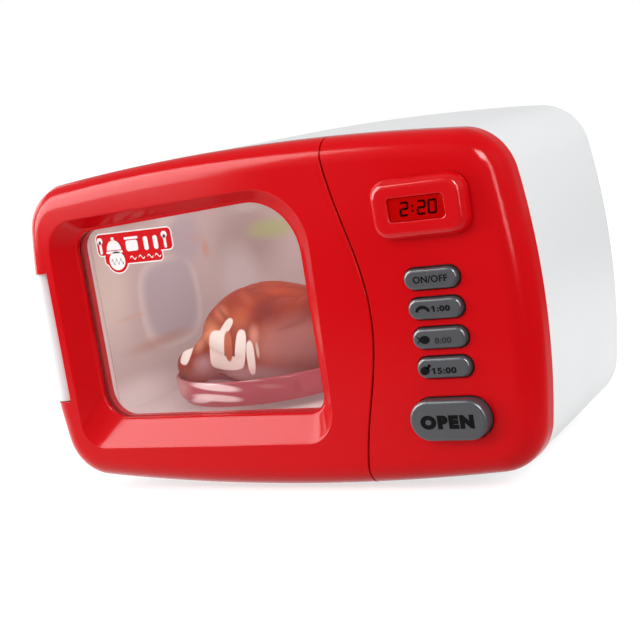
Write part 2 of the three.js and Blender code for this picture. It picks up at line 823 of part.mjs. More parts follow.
// The lower posts pass under both the latch and the cooking space
function casePostPlaces() {
  const column = caseHalfWidth - caseScrewSideInset;
  const bottom = Math.min(openZ - latchHalfHeight, floorUnderside) - caseScrewLatchRoom - casePostRadius;
  const top = caseHalfHeight - caseScrewTopInset;
  return [-column, column].flatMap((x) => [[x, bottom], [x, top]]);
}

function footPlaces() {
  const column = caseHalfWidth - footSideInset;
  const front = turntableY - trayHalfDepth - footFrontRoom;
  const back = turntableY + trayHalfDepth + footBackRoom;
  return [-column, column].flatMap((x) => [[x, front], [x, back]]);
}

function panelScrewPlaces() {
  const column = seamEdge + panelBossSeamInset;
  const row = caseHalfHeight - panelBossRowInset;
  return [[column, row], [column, -row], [caseHalfWidth - panelBossRightInset, 0]];
}

function doorScrewPlaces() {
  const columns = [doorScrewLeftInset - caseHalfWidth, seamEdge - doorScrewRightInset];
  return columns.flatMap((x) => {
    const row = caseHalfHeight - topDrop(x) - doorScrewWallRoom;
    return [[x, -row], [x, row]];
  });
}

function buttonPlaces() {
  return Array.from({ length: buttonCount }, (_, row) => buttonTop - (row * buttonPitch));
}

// Hinge block: a knuckle round the axis whose left side is flush with the red front
function hingeBlock() {
  const tangentAngle = -doorOpeningAngle;
  const farLeft = -2 * knuckleRadius;
  const tangentY = (knuckleRadius - (farLeft * Math.cos(tangentAngle))) / Math.sin(tangentAngle);
  const outline = [
    new THREE.Vector2(farLeft, tangentY),
    ...arc(0, 0, knuckleRadius, tangentAngle, 0, hingeArcSteps),
    new THREE.Vector2(knuckleRadius, behindPlate - hingeAxisY - gap),
    new THREE.Vector2(farLeft, behindPlate - hingeAxisY - gap),
  ];
  const depth = notchTop - notchBottom - (2 * runningGap);
  const geometry = new THREE.ExtrudeGeometry(new THREE.Shape(outline), { depth, bevelEnabled: false });
  geometry.translate(hingeAxisX, hingeAxisY, notchBottom + runningGap);
  const room = block(
    -caseHalfWidth, hingeAxisX + (2 * knuckleRadius), -overrun, frontPlateY, notchBottom, notchTop,
  );
  const beside = housingBody(housingWall + gap, bezelDepth, caseDepth);
  const silhouette = frontBody(0, 0, frontPlateY - gap).intersect(room).add(beside);
  return solid(geometry).intersect(silhouette);
}

// Plate behind the red front, with all that it carries
function frontFrame() {
  const edge = (y) => ringAt(caseOutline(housingHalfWidthAt(y), housingHalfHeight, housingWall + gap), y);
  const plate = solid(loft([edge(frontPlateY), edge(behindPlate)]));
  const posts = casePostPlaces().map(([x, z]) => (
    barAlongY(casePostRadius, x, z, behindPlate - (frontPlateThickness / 2), caseSeatY - gap, smallSides)
  ));
  const pilots = casePostPlaces().map(([x, z]) => (
    barAlongY(screwShaftRadius + gap, x, z, caseSeatY - caseScrewLength, caseSeatY, smallSides)
  ));
  const panelHoles = panelScrewPlaces().map(([x, z]) => (
    barAlongY(screwShaftRadius + gap, x, z, frontPlateY - overrun, behindPlate + overrun, smallSides)
  ));
  const mouth = slab(cavityOutline(0), frontPlateY - overrun, behindPlate + overrun);
  const stemHole = block(
    openX - openStemHalf - runningGap, openX + openStemHalf + runningGap,
    frontPlateY - overrun, behindPlate + overrun,
    openZ - openStemHalf - runningGap, openZ + openStemHalf + runningGap,
  );
  const tongueHole = block(
    tongueX - runningGap, tongueX + tongueThickness + tongueSlotSpare,
    frontPlateY - overrun, behindPlate + overrun,
    openZ - tongueHalfHeight - runningGap, openZ + tongueHalfHeight + runningGap,
  );
  const pinBore = barAlongZ(hingePinRadius + gap, hingeAxisX, hingeAxisY, notchBottom, notchTop, smallSides);
  return cut(
    joined(plate, hingeBlock(), ...posts, ...latchRails(), latchStop()),
    mouth, stemHole, tongueHole, pinBore, ...pilots, ...panelHoles,
  );
}

// Rails that hold the latch slider against the plate
function latchRails() {
  const inner = latchHalfHeight + gap;
  const lipFront = latchBack + gap;
  const lipBack = lipFront + railLipThickness;
  const start = openX - railStartReach;
  const end = openX - railEndReach;
  return [-1, 1].flatMap((side) => {
    const edges = [openZ + (side * inner), openZ + (side * (inner + railHeight))];
    const lips = [openZ + (side * (inner - railLip)), openZ + (side * (inner + railHeight))];
    return [
      block(start, end, behindPlate - gap, lipBack, Math.min(...edges), Math.max(...edges)),
      block(start, end, lipFront, lipBack, Math.min(...lips), Math.max(...lips)),
    ];
  });
}

function sliderEnd() {
  return openX + openStemHalf + openTravel + latchEnd;
}

function latchStop() {
  const front = sliderEnd() + (2 * gap) + latchSpringLength;
  return block(front, front + stopThickness, behindPlate - gap, latchBack + railLipThickness,
    openZ - latchHalfHeight, openZ + latchHalfHeight);
}

// Five walls of the cooking space, with a flange behind the plate
function cavityLiner() {
  const flangeBack = linerFront + linerFlangeThickness;
  const shell = slab(cavityOutline(linerWall), linerFront, cavityBack + linerWall);
  const flange = slab(cavityOutline(linerFlangeWidth), linerFront, flangeBack);
  const space = slab(cavityOutline(0), linerFront - overrun, cavityBack);
  const hubHole = barAlongZ(driveShaftRadius + runningGap, cavityCentreX, turntableY,
    floorUnderside - overrun, cavityBottom + overrun, roundSides);
  const lampHole = barAlongZ(lampRadius + gap, lampX, lampY,
    cavityTop - overrun, cavityTop + linerWall + overrun);
  const posts = casePostPlaces().map(([x, z]) => (
    barAlongY(casePostRadius + gap, x, z, linerFront - overrun, caseSeatY)
  ));
  return cut(joined(shell, flange), space, hubHole, lampHole, ...posts);
}

// Red front right of the seam
function controlPanel() {
  const shell = cut(
    frontBody(0, 0, bezelDepth).intersect(seamSide(1, seamGap)),
    frontBody(bezelWall, bezelWall, bezelDepth + overrun).intersect(seamSide(1, seamGap + bezelWall)),
  );
  const bosses = panelScrewPlaces().map(([x, z]) => (
    barAlongY(panelBossRadius, x, z, bezelWall - gap, frontPlateY - gap)
  ));
  const pilotFront = behindPlate - panelScrewLength - gap;
  const pilots = panelScrewPlaces().map(([x, z]) => (
    barAlongY(screwShaftRadius + gap, x, z, pilotFront, bezelDepth + overrun, smallSides)
  ));
  const standoffs = boardScrewPlaces().map(([x, z]) => (
    barAlongY(boardBossRadius, x, z, bezelWall - gap, boardFront - gap, smallSides)
  ));
  const boardPilots = boardScrewPlaces().map(([x, z]) => (
    barAlongY(screwShaftRadius + gap, x, z, boardFront - boardScrewLength, boardFront, smallSides)
  ));
  const holes = buttonPlaces().map((z) => (
    slab(stadiumOutline(panelMiddleX, z, buttonWidth + (2 * runningGap), buttonHeight + (2 * runningGap)),
      -overrun, bezelWall + overrun)
  ));
  const openHole = slab(
    stadiumOutline(openX, openZ, openWidth + (2 * runningGap), openHeight + (2 * runningGap)),
    -overrun, bezelWall + overrun,
  );
  const displayHole = slab(displayNeckOutline(gap), -overrun, bezelWall + overrun);
  const whole = joined(shell, ...bosses, ...standoffs);
  return cut(whole, ...pilots, ...boardPilots, ...holes, openHole, displayHole);
}

function boardScrewPlaces() {
  const sideways = boardHalfWidth - boardScrewInset;
  return [
    [panelMiddleX + sideways, boardTop() - boardScrewInset],
    [panelMiddleX - sideways, boardBottom() + boardScrewInset],
  ];
}

function boardTop() {
  return buttonTop + boardMargin;
}

function boardBottom() {
  return openZ + openSpringRadius + springWire + boardSpringRoom;
}

function controlBoard() {
  const back = boardFront + boardThickness;
  const board = block(panelMiddleX - boardHalfWidth, panelMiddleX + boardHalfWidth,
    boardFront, back, boardBottom(), boardTop());
  const switches = buttonPlaces().map((z) => block(
    panelMiddleX - switchHalfSize, panelMiddleX + switchHalfSize,
    switchFront, boardFront + (boardThickness / 2),
    z - switchHalfSize, z + switchHalfSize,
  ));
  const holes = boardScrewPlaces().map(([x, z]) => (
    barAlongY(screwShaftRadius + gap, x, z, boardFront - overrun, back + overrun, smallSides)
  ));
  return cut(joined(board, ...switches), ...holes);
}

// Push button in its own frame, its middle on the panel's front plane
function keypadButton() {
  const face = -buttonProud;
  const shrunk = (inset) => stadiumOutline(0, 0, buttonWidth - (2 * inset), buttonHeight - (2 * inset));
  const tilt = buttonRound * (1 - Math.SQRT1_2);
  const cap = solid(loft([
    ringAt(shrunk(buttonRound), face),
    ringAt(shrunk(tilt), face + tilt),
    ringAt(shrunk(0), face + buttonRound),
    ringAt(shrunk(0), panelBehindWall),
  ]));
  const flange = slab(
    stadiumOutline(0, 0, buttonWidth + (2 * (buttonFlange + runningGap)), buttonHeight + (2 * buttonFlange)),
    panelBehindWall, buttonFlangeBack,
  );
  const stem = barAlongY(buttonStemRadius, 0, 0,
    buttonFlangeBack - gap, buttonFlangeBack + buttonStemLength, smallSides);
  return joined(cap, flange, stem);
}

function displayNeckOutline(margin) {
  const width = displayWidth - (2 * displayNeckInset) + (2 * margin);
  const height = displayHeight - (2 * displayNeckInset) + (2 * margin);
  return rectangleOutline(panelMiddleX, displayZ, width, height, displayRadius - displayNeckInset + margin);
}

// Raised surround of the display, snapped into the panel
function displayBezel() {
  const outer = (inset) => rectangleOutline(panelMiddleX, displayZ,
    displayWidth - (2 * inset), displayHeight - (2 * inset), displayRadius - inset);
  const cap = solid(loft([
    ringAt(outer(0), -gap),
    ...displaySlopeShares.map(([inset, proud]) => ringAt(outer(displaySlope * inset), -displayProud * proud)),
  ]));
  const neckBack = panelBehindWall + displayRidgeThickness;
  const neck = slab(displayNeckOutline(0), -displayProud / 2, neckBack);
  const ridge = solid(loft([
    ringAt(displayNeckOutline(displayRidge), panelBehindWall),
    ringAt(displayNeckOutline(0), neckBack),
  ]));
  const pocket = slab(displayPocketOutline(gap), displayWallBack(), neckBack + overrun);
  const hole = slab(displayWindowOutline(), -displayProud - overrun, 0);
  return cut(joined(cap, neck, ridge), pocket, hole);
}

function displayWallBack() {
  return displayWall - displayProud;
}

function displayPocketOutline(margin) {
  const grow = 2 * (displayPaneOverlap + margin);
  return rectangleOutline(panelMiddleX, displayZ, displayWindowWidth + grow, displayWindowHeight + grow,
    displayWindowRadius);
}

function displayWindowOutline() {
  return rectangleOutline(panelMiddleX, displayZ, displayWindowWidth, displayWindowHeight,
    displayWindowRadius);
}

// OPEN button with the wedge that drives the latch
function openButton() {
  const shrunk = (inset) => stadiumOutline(openX, openZ, openWidth - (2 * inset), openHeight - (2 * inset));
  const tilt = openRound * (1 - Math.SQRT1_2);
  const cap = solid(loft([
    ringAt(shrunk(openRound), -openProud),
    ringAt(shrunk(tilt), tilt - openProud),
    ringAt(shrunk(0), openRound - openProud),
    ringAt(shrunk(0), panelBehindWall),
  ]));
  const flange = slab(
    stadiumOutline(openX, openZ, openWidth + (2 * (buttonFlange + runningGap)),
      openHeight + (2 * (buttonFlange + runningGap))),
    panelBehindWall, buttonFlangeBack,
  );
  const wedgeStart = latchFront - gap;
  const tip = wedgeStart + openStemTail;
  const side = [
    new THREE.Vector2(openX - openStemHalf, buttonFlangeBack - gap),
    new THREE.Vector2(openX + openStemHalf, buttonFlangeBack - gap),
    new THREE.Vector2(openX + openStemHalf, wedgeStart),
    new THREE.Vector2(openX + openStemHalf - openStemTail, tip),
    new THREE.Vector2(openX - openStemHalf, tip),
  ];
  const depth = 2 * openStemHalf;
  const stem = new THREE.ExtrudeGeometry(new THREE.Shape(side), { depth, bevelEnabled: false });
  stem.translate(0, 0, openZ - openStemHalf);
  return joined(cap, flange, solid(stem));
}

// Slider with a nose for the door's tongue and a window for the wedge
function latchSlider() {
  const noseTip = tongueX + gap;
  const bodyStart = noseTip + latchNoseLength;
  const nose = block(noseTip, bodyStart + overrun, latchFront, latchBack,
    openZ - latchNoseHalfHeight, openZ + latchNoseHalfHeight);
  const body = block(bodyStart, sliderEnd(), latchFront, latchBack,
    openZ - latchHalfHeight, openZ + latchHalfHeight);
  const wedgeFront = openX + openStemHalf + gap + runningGap;
  const windowLeftEnd = openX - openStemHalf - openTravel - runningGap;
  const slope = [
    new THREE.Vector2(windowLeftEnd, latchFront - overrun),
    new THREE.Vector2(wedgeFront + overrun, latchFront - overrun),
    new THREE.Vector2(wedgeFront - latchThickness - overrun, latchBack + overrun),
    new THREE.Vector2(windowLeftEnd, latchBack + overrun),
  ];
  const depth = 2 * (openStemHalf + runningGap);
  const opening = new THREE.ExtrudeGeometry(new THREE.Shape(slope), { depth, bevelEnabled: false });
  opening.translate(0, 0, openZ - openStemHalf - runningGap);
  return cut(joined(nose, body), solid(opening));
}

// Red front left of the seam, with the recess and the hinge notch
function doorFrame() {
  const shell = frontBody(0, 0, bezelDepth).intersect(seamSide(-1, seamGap));
  const funnel = solid(loft([
    ringAt(recessOutline(bezelWall), -overrun),
    ringAt(recessOutline(bezelWall), bezelWall),
    ringAt(windowOutline(paneSeat), recessDepth + lipDepth),
  ]));
  const bosses = doorScrewPlaces().map(([x, z]) => (
    barAlongY(doorBossRadius, x, z, 0, innerPanelFront - gap)
  ));
  const hingeBoss = barAlongZ(hingeBossRadius, hingeAxisX, hingeAxisY,
    notchBottom - hingePinReach - bezelWall, notchTop + hingePinReach + bezelWall);
  const hollow = cut(
    frontBody(bezelWall, bezelWall, bezelDepth + overrun).intersect(seamSide(-1, seamGap + bezelWall)),
    funnel, notchRoom(bezelWall), hingeBoss, ...bosses,
  );
  const recess = solid(loft([
    ringAt(recessOutline(0), -overrun),
    ringAt(recessOutline(0), 0),
    ringAt(windowOutline(recessLand), recessDepth),
  ]));
  const hole = slab(windowOutline(0), 0, bezelDepth);
  const pilots = doorScrewPlaces().map(([x, z]) => (
    barAlongY(screwShaftRadius + gap, x, z, innerPanelBack - doorScrewLength - gap, bezelDepth, smallSides)
  ));
  const backEdge = cut(
    block(-caseHalfWidth - overrun, hingeAxisX, hingeAxisY, bezelDepth + overrun,
      -caseHalfHeight, caseHalfHeight),
    barAlongZ(doorEdgeRadius, hingeAxisX, hingeAxisY, -caseHalfHeight, caseHalfHeight),
  );
  const pinBore = barAlongZ(hingePinRadius + gap, hingeAxisX, hingeAxisY,
    notchBottom - hingePinReach - gap, notchTop + hingePinReach + gap, smallSides);
  return cut(shell, hollow, recess, hole, notchRoom(0), backEdge, pinBore, ...pilots);
}

// Room that the hinge block and its knuckle need in the door
function notchRoom(margin) {
  return block(-caseHalfWidth - overrun, hingeAxisX + notchReach + margin, -overrun, bezelDepth + overrun,
    notchBottom - margin, notchTop + margin);
}

// Back of the door: it holds the pane and carries the latch tongue
function doorInnerPanel() {
  const clear = bezelWall + gap;
  const room = frontBody(clear, innerPanelFront - bezelFillet, bezelDepth + overrun)
    .intersect(seamSide(-1, seamGap + clear));
  const sheet = block(hingeAxisX + hingeBossRadius + runningGap, caseHalfWidth,
    innerPanelFront, innerPanelBack, -caseHalfHeight, caseHalfHeight);
  const ring = slab(windowOutline(paneOverlap), paneBack + gap, innerPanelFront + (innerPanelThickness / 2));
  const tongue = block(tongueX, tongueX + tongueThickness, innerPanelBack - (innerPanelThickness / 2),
    latchBack + tongueTail, openZ - tongueHalfHeight, openZ + tongueHalfHeight);
  const catchHole = block(tongueX - overrun, tongueX + tongueThickness + overrun,
    latchFront - runningGap, latchBack + runningGap,
    openZ - latchNoseHalfHeight - runningGap, openZ + latchNoseHalfHeight + runningGap);
  const hole = slab(windowOutline(0), 0, bezelDepth + overrun);
  const holes = doorScrewPlaces().flatMap(([x, z]) => [
    barAlongY(screwShaftRadius + gap, x, z, innerPanelFront - overrun, bezelDepth, smallSides),
    barAlongY(screwHeadRadius + gap, x, z, innerPanelBack - screwHeadHeight - gap, bezelDepth + overrun),
  ]);
  return cut(joined(sheet.intersect(room), ring, tongue), catchHole, hole, notchRoom(clear), ...holes);
}

// Dish in its own frame: its axis is upright and zero is the cooking space's floor
function turntablePlate() {
  const foot = plateBottom - cavityBottom;
  const floorBottom = foot + plateFootHeight;
  const top = foot + plateHeight;
  const dish = turned([
    [0, floorBottom],
    [plateFootRadius - plateWall, floorBottom],
    [plateFootRadius - plateWall, foot],
    [plateFootRadius, foot],
    [plateRadius - (plateLipRound / 2), foot + (plateHeight / 2)],
    [plateRadius, top - plateLipRound],
    [plateRadius - (plateWall / 2), top],
    [plateRadius - plateWall, top - plateLipRound],
    [plateFootRadius - plateLipRound, floorBottom + plateWall],
    [0, floorBottom + plateWall],
  ], 2 * roundSides);
  const half = (driveSquare / 2) + gap;
  const boss = cut(
    barAlongZ(driveBossRadius, 0, 0, foot, floorBottom + (plateWall / 2)),
    block(-half, half, -half, half, foot - overrun, floorBottom),
  );
  return joined(dish, boss);
}

// Turntable drive in its own frame: gear, upright shaft, flange and square
function turntableDrive() {
  const up = (z) => z - cavityBottom;
  const foot = up(plateBottom);
  const gearBody = spurGear(driveTeeth, gearThickness, 0).translate([0, 0, up(gearBottom)]);
  const flangeBottom = foot - gap - driveFlangeThickness;
  const shaft = barAlongZ(driveShaftRadius, 0, 0, up(trayTop) + gap, flangeBottom + gap);
  const flange = barAlongZ(driveFlangeRadius, 0, 0, flangeBottom, foot - gap);
  const half = driveSquare / 2;
  const square = block(-half, half, -half, half, foot - runningGap, foot + plateFootHeight - gap);
  return joined(gearBody, shaft, flange, square);
}

// Gear on a pin, in its own frame, from zero upwards
function pinnedGear(bodies, height) {
  const bore = barAlongZ(gearPinRadius + gap, 0, 0, -overrun, height + overrun, smallSides);
  return cut(joined(...bodies), bore);
}

// Tray that carries the gears and the motor under the cooking space
function gearTray() {
  const bottom = trayTop - trayThickness;
  const left = cavityCentreX - pitchRadius(driveTeeth) - trayMargin;
  const right = motorX + gearboxHalfWidth + trayMargin;
  const sheet = block(left, right, turntableY - trayHalfDepth, turntableY + trayHalfDepth, bottom, trayTop);
  const posts = [left + trayPostRadius, (idlerX + compoundX) / 2].flatMap((x) => [-1, 1].map((side) => (
    barAlongZ(trayPostRadius, x, turntableY + (side * (trayHalfDepth - trayPostRadius)),
      trayTop - gap, floorUnderside - gap, smallSides)
  )));
  const motorPosts = [-1, 1].map((side) => (
    barAlongZ(trayPostRadius, motorX, turntableY + (side * motorPostOffset),
      trayTop - gap, motorBottom() - gap, smallSides)
  ));
  const pinBosses = [idlerX, compoundX].map((x) => (
    barAlongZ(gearBossRadius, x, turntableY, bottom, trayTop + gearBossHeight)
  ));
  const bearing = barAlongZ(bearingBossRadius, cavityCentreX, turntableY,
    bottom, trayTop + bearingBossHeight);
  const pinBores = [idlerX, compoundX].map((x) => (
    barAlongZ(gearPinRadius + gap, x, turntableY, trayTop, trayTop + gearBossHeight + overrun, smallSides)
  ));
  const bearingBore = barAlongZ(driveShaftRadius + gap, cavityCentreX, turntableY,
    trayTop, trayTop + bearingBossHeight + overrun);
  return cut(joined(sheet, ...posts, ...motorPosts, ...pinBosses, bearing), ...pinBores, bearingBore);
}

function motorBottom() {
  return largeGearTop + motorLift;
}

function gearMotor() {
  const bottom = motorBottom();
  const top = bottom + gearboxHeight;
  const box = block(motorX - gearboxHalfWidth, motorX + gearboxHalfWidth,
    turntableY - gearboxHalfWidth, turntableY + gearboxHalfWidth, bottom, top);
  const ears = block(motorX - trayPostRadius, motorX + trayPostRadius,
    turntableY - motorEarReach, turntableY + motorEarReach, bottom, bottom + motorEarThickness);
  const can = barAlongZ(motorRadius, motorX, turntableY, top - gap, top + motorHeight);
  const shaft = barAlongZ(motorShaftRadius, motorX, turntableY, largeGearBottom, bottom + gap, smallSides);
  return joined(box, ears, can, shaft);
}

// Roast chicken in its own frame: it stands on zero, legs to the right
function roastChicken() {
  const oval = (length, width, height, sides) => {
    const geometry = new THREE.SphereGeometry(1, sides, sides / 2);
    geometry.rotateX(Math.PI / 2);
    geometry.scale(length, width, height);
    return geometry;
  };
  const long = chickenHalfLength;
  const middle = long * (chickenHeightShare - chickenFlatShare);
  const trunk = oval(long, long * chickenWidthShare, long * chickenHeightShare, roundSides);
  trunk.translate(0, 0, middle);
  const legX = long * legMiddleShare;
  const legZ = middle + (long * legRiseShare);
  const legRadius = long * legRadiusShare;
  const knobRadius = long * legKnobRadiusShare;
  const knobReach = long * legKnobReachShare;
  const wingRadius = long * wingRadiusShare;
  const limbs = [-1, 1].flatMap((side) => {
    const legY = side * long * legSpreadShare;
    const leg = oval(long * legLengthShare, legRadius, legRadius, smallSides);
    leg.rotateY(-legTilt);
    leg.translate(legX, legY, legZ);
    const knob = oval(knobRadius, knobRadius, knobRadius, smallSides);
    const knobX = legX + (knobReach * Math.cos(legTilt));
    knob.translate(knobX, legY, legZ + (knobReach * Math.sin(legTilt)));
    const wing = oval(long * wingLengthShare, wingRadius, wingRadius, smallSides);
    wing.rotateY(wingTilt);
    wing.translate(-long * wingSetBackShare, side * long * wingSpreadShare, middle);
    return [solid(leg), solid(knob), solid(wing)];
  });
  const below = block(-2 * long, 2 * long, -2 * long, 2 * long, -2 * long, 0);
  return cut(joined(solid(trunk), ...limbs), below);
}

function batteryY() {
  return caseDepth - coverThickness - (2 * gap) - batteryRadius;
}

// Tub for the cells, open to the back
function batteryBox() {
  const front = batteryY() - batteryRadius - gap - batteryBoxWall;
  const back = caseDepth - coverThickness - gap;
  const tub = batteryBlock(0, front, back);
  const rimBack = backInside - gap;
  const rim = batteryBlock(coverLedge, rimBack - batteryBoxWall, rimBack);
  const inside = batteryBlock(-batteryBoxWall, front + batteryBoxWall, caseDepth);
  const boss = barAlongY(doorBossRadius, batteryBoxX, coverScrewZ, front, rimBack, smallSides);
  const pilot = barAlongY(screwShaftRadius + gap, batteryBoxX, coverScrewZ,
    caseDepth - screwHeadHeight - coverScrewLength - (2 * gap), backInside, smallSides);
  return cut(joined(tub, rim, boss), inside, pilot);
}

// Block over the battery box's outline, moved outwards by a margin
function batteryBlock(margin, yFront, yBack) {
  const x = batteryHalfX + margin;
  const z = batteryHalfZ + margin;
  return block(batteryBoxX - x, batteryBoxX + x, yFront, yBack, batteryBoxZ - z, batteryBoxZ + z);
}

// Cover in the back wall, with a screw tab at its top and two hooks at its bottom
function batteryCover() {
  const back = caseDepth;
  const top = batteryBoxZ + coverTopReach;
  const hookBottom = batteryBoxZ - batteryHalfZ + batteryBoxWall + gap;
  const sheet = batteryBlock(0, back - coverThickness, back);
  const hooks = [-1, 1].map((side) => {
    const x = batteryBoxX + (side * batteryHalfX * coverHookShare);
    return block(x - coverHookHalf, x + coverHookHalf, back - (2 * coverThickness), back - gap,
      hookBottom, hookBottom + batteryBoxWall);
  });
  const tab = block(batteryBoxX - coverTabHalf, batteryBoxX + coverTabHalf, back - coverThickness, back,
    batteryBoxZ, top);
  const pad = block(batteryBoxX - coverTabHalf, batteryBoxX + coverTabHalf, backInside, back - gap,
    batteryBoxZ + batteryHalfZ + gap, top);
  const hole = joined(
    barAlongY(screwShaftRadius + gap, batteryBoxX, coverScrewZ, backInside - overrun, back, smallSides),
    barAlongY(screwHeadRadius + gap, batteryBoxX, coverScrewZ, back - screwHeadHeight - gap, back + overrun,
      smallSides),
  );
  return cut(joined(sheet, tab, pad, ...hooks), hole);
}

// Cell in its own frame, along X
function battery() {
  const half = batteryLength / 2;
  const can = barAlongX(batteryRadius, 0, 0, -half, half - batteryNubLength);
  const nub = barAlongX(batteryNubRadius, 0, 0, half - (2 * batteryNubLength), half, smallSides);
  return joined(can, nub);
}

function contactPlate() {
  const half = (((batteryCount - 1) * batteryPitch) / 2) + batteryNubRadius;
  return block(-contactThickness / 2, contactThickness / 2, -contactHalfWidth, contactHalfWidth, -half, half);
}

function speaker() {
  const front = backInside - gap;
  const rimFront = front - speakerRimThickness;
  const coneFront = rimFront - speakerConeDepth;
  const ring = (radius, y) => (
    ringAt(arc(speakerX, speakerZ, radius, 0, 2 * Math.PI, roundSides).slice(0, -1), y)
  );
  const cone = solid(loft([ring(speakerRadius, rimFront), ring(speakerMagnetRadius, coneFront)]));
  const rim = barAlongY(speakerRadius, speakerX, speakerZ, rimFront, front);
  const magnet = barAlongY(speakerMagnetRadius, speakerX, speakerZ,
    coneFront - speakerMagnetDepth, coneFront);
  const hollow = solid(loft([
    ring(speakerRadius - housingWall, front + overrun),
    ring(speakerMagnetRadius - housingWall, coneFront + speakerRimThickness),
  ]));
  return cut(joined(rim, cone, magnet), hollow);
}

function cavityLamp() {
  const seat = cavityTop + linerWall + gap;
  const lens = new THREE.SphereGeometry(lampRadius, smallSides, smallSides / 2);
  lens.rotateX(Math.PI / 2);
  lens.translate(lampX, lampY, cavityTop - lampDrop + lampRadius);
  const stem = barAlongZ(lampRadius, lampX, lampY, cavityTop - lampDrop + lampRadius, seat + gap, smallSides);
  const flange = barAlongZ(lampFlangeRadius, lampX, lampY, seat, seat + lampFlangeThickness, roundSides);
  const body = barAlongZ(lampRadius, lampX, lampY, seat, seat + lampBodyHeight, smallSides);
  return joined(solid(lens), stem, flange, body);
}

function rubberFoot() {
  const pad = turned([
    [0, 0],
    [footRadius - padRound, 0],
    [footRadius, padRound],
    [footRadius, padTop()],
    [0, padTop()],
  ]);
  const plug = barAlongZ(footPlugRadius, 0, 0, padTop() - gap, padTop() + footPlugHeight, shaftSides);
  return joined(pad, plug);
}

// Height of a foot's pad, up to the case's curved underside at its outer edge
function padTop() {
  const underside = housingHalfHeight - topDrop(caseHalfWidth - footSideInset - footRadius);
  return (caseHalfHeight + footReach) - underside - gap;
}

// Case and front
place('rear_housing', rearHousing(), whitePlastic);
place('front_frame', frontFrame(), whitePlastic);
place('cavity_liner', cavityLiner(), greyPlastic);
const cardBack = cavityBack - gap;
place('backdrop_card', slab(cavityOutline(-gap), cardBack - cardThickness, cardBack), printedCard);
place('control_panel', controlPanel(), redPlastic);
place('hinge_pin', barAlongZ(hingePinRadius, hingeAxisX, hingeAxisY,
  notchBottom - hingePinReach, notchTop + hingePinReach, smallSides), steel);

// Door
place('door_frame', doorFrame(), redPlastic);
place('window_pane', slab(windowOutline(paneOverlap), paneFront, paneBack), clearPlastic);
place('door_inner_panel', doorInnerPanel(), redPlastic);
doorScrewPlaces().forEach(([x, z], i) => {
  place(`door_screw_${i + 1}`, screw(doorScrewLength - screwHeadHeight), steel, [x, innerPanelBack, z]);
});

// Display, keypad and its board
place('display_bezel', displayBezel(), redPlastic);
const displayPaneFront = displayWallBack() + gap;
const displayPaneBack = displayPaneFront + displayPaneThickness;
place('display_window', slab(displayPocketOutline(0), displayPaneFront, displayPaneBack), darkRedPlastic);
place('display_card', slab(displayPocketOutline(0), displayPaneBack + gap,
  displayPaneBack + gap + displayCardThickness), printedCard);
place('control_board', controlBoard(), boardGreen);
boardScrewPlaces().forEach(([x, z], i) => {
  place(`board_screw_${i + 1}`, screw(boardScrewLength), steel,
    [x, boardFront + boardThickness + gap + screwHeadHeight, z]);
});
const buttonNames = ['button_on_off', 'button_1_00', 'button_8_00', 'button_15_00'];
buttonPlaces().forEach((z, row) => {
  place(buttonNames[row], keypadButton(), buttonGrey, [panelMiddleX, 0, z]);
});
panelScrewPlaces().forEach(([x, z], i) => {
  place(`panel_screw_${i + 1}`, screw(panelScrewLength), steel, [x, behindPlate + gap + screwHeadHeight, z]);
});

// Door opener
place('open_button', openButton(), buttonGrey);
const openSpringStart = buttonFlangeBack + gap;
place('open_button_spring', coilSpring(openSpringRadius, frontPlateY - gap - openSpringStart), steel,
  [openX, openSpringStart, openZ]);
place('latch_slider', latchSlider(), gearPlastic);
const latchSpring = coilSpring(latchSpringRadius, latchSpringLength);
latchSpring.rotateZ(-Math.PI / 2);
place('latch_spring', latchSpring, steel,
  [sliderEnd() + gap, ((latchFront + latchBack) / 2) + latchSpringLift, openZ]);

// Turntable, food and drive
const idlerAngle = meshAngle(idlerTeeth, driveTeeth, 0);
const compoundAngle = meshAngle(compoundSmallTeeth, idlerTeeth, idlerAngle);
const pinionAngle = meshAngle(pinionTeeth, compoundLargeTeeth, compoundAngle);
place('turntable_drive', turntableDrive(), gearPlastic, [cavityCentreX, turntableY, cavityBottom]);
place('turntable_plate', turntablePlate(), redPlastic, [cavityCentreX, turntableY, cavityBottom]);
place('roast_chicken', roastChicken(), roastOrange,
  [cavityCentreX, turntableY, plateBottom + plateFootHeight + plateWall + gap]);
place('idler_gear', pinnedGear([spurGear(idlerTeeth, gearThickness, idlerAngle)], gearThickness), gearPlastic,
  [idlerX, turntableY, gearBottom]);
const compoundHeight = largeGearTop - gearBottom;
const compoundRise = largeGearBottom - gearBottom;
place('compound_gear', pinnedGear([
  spurGear(compoundSmallTeeth, compoundRise + gap, compoundAngle),
  spurGear(compoundLargeTeeth, largeGearThickness, compoundAngle).translate([0, 0, compoundRise]),
], compoundHeight), gearPlastic, [compoundX, turntableY, gearBottom]);
const pinion = spurGear(pinionTeeth, largeGearThickness, pinionAngle);
place('motor_pinion', pinnedGear([pinion], largeGearThickness), gearPlastic,
  [motorX, turntableY, largeGearBottom]);
place('idler_pin', barAlongZ(gearPinRadius, idlerX, turntableY,
  trayTop + gap, gearTop + gearPlaneGap, smallSides), steel);
place('compound_pin', barAlongZ(gearPinRadius, compoundX, turntableY,
  trayTop + gap, largeGearTop + gearPlaneGap, smallSides), steel);
place('gear_tray', gearTray(), darkGreyPlastic);
place('gear_motor', gearMotor(), steel);

// Light and sound
place('cavity_lamp', cavityLamp(), clearPlastic);
place('speaker', speaker(), darkGreyPlastic);

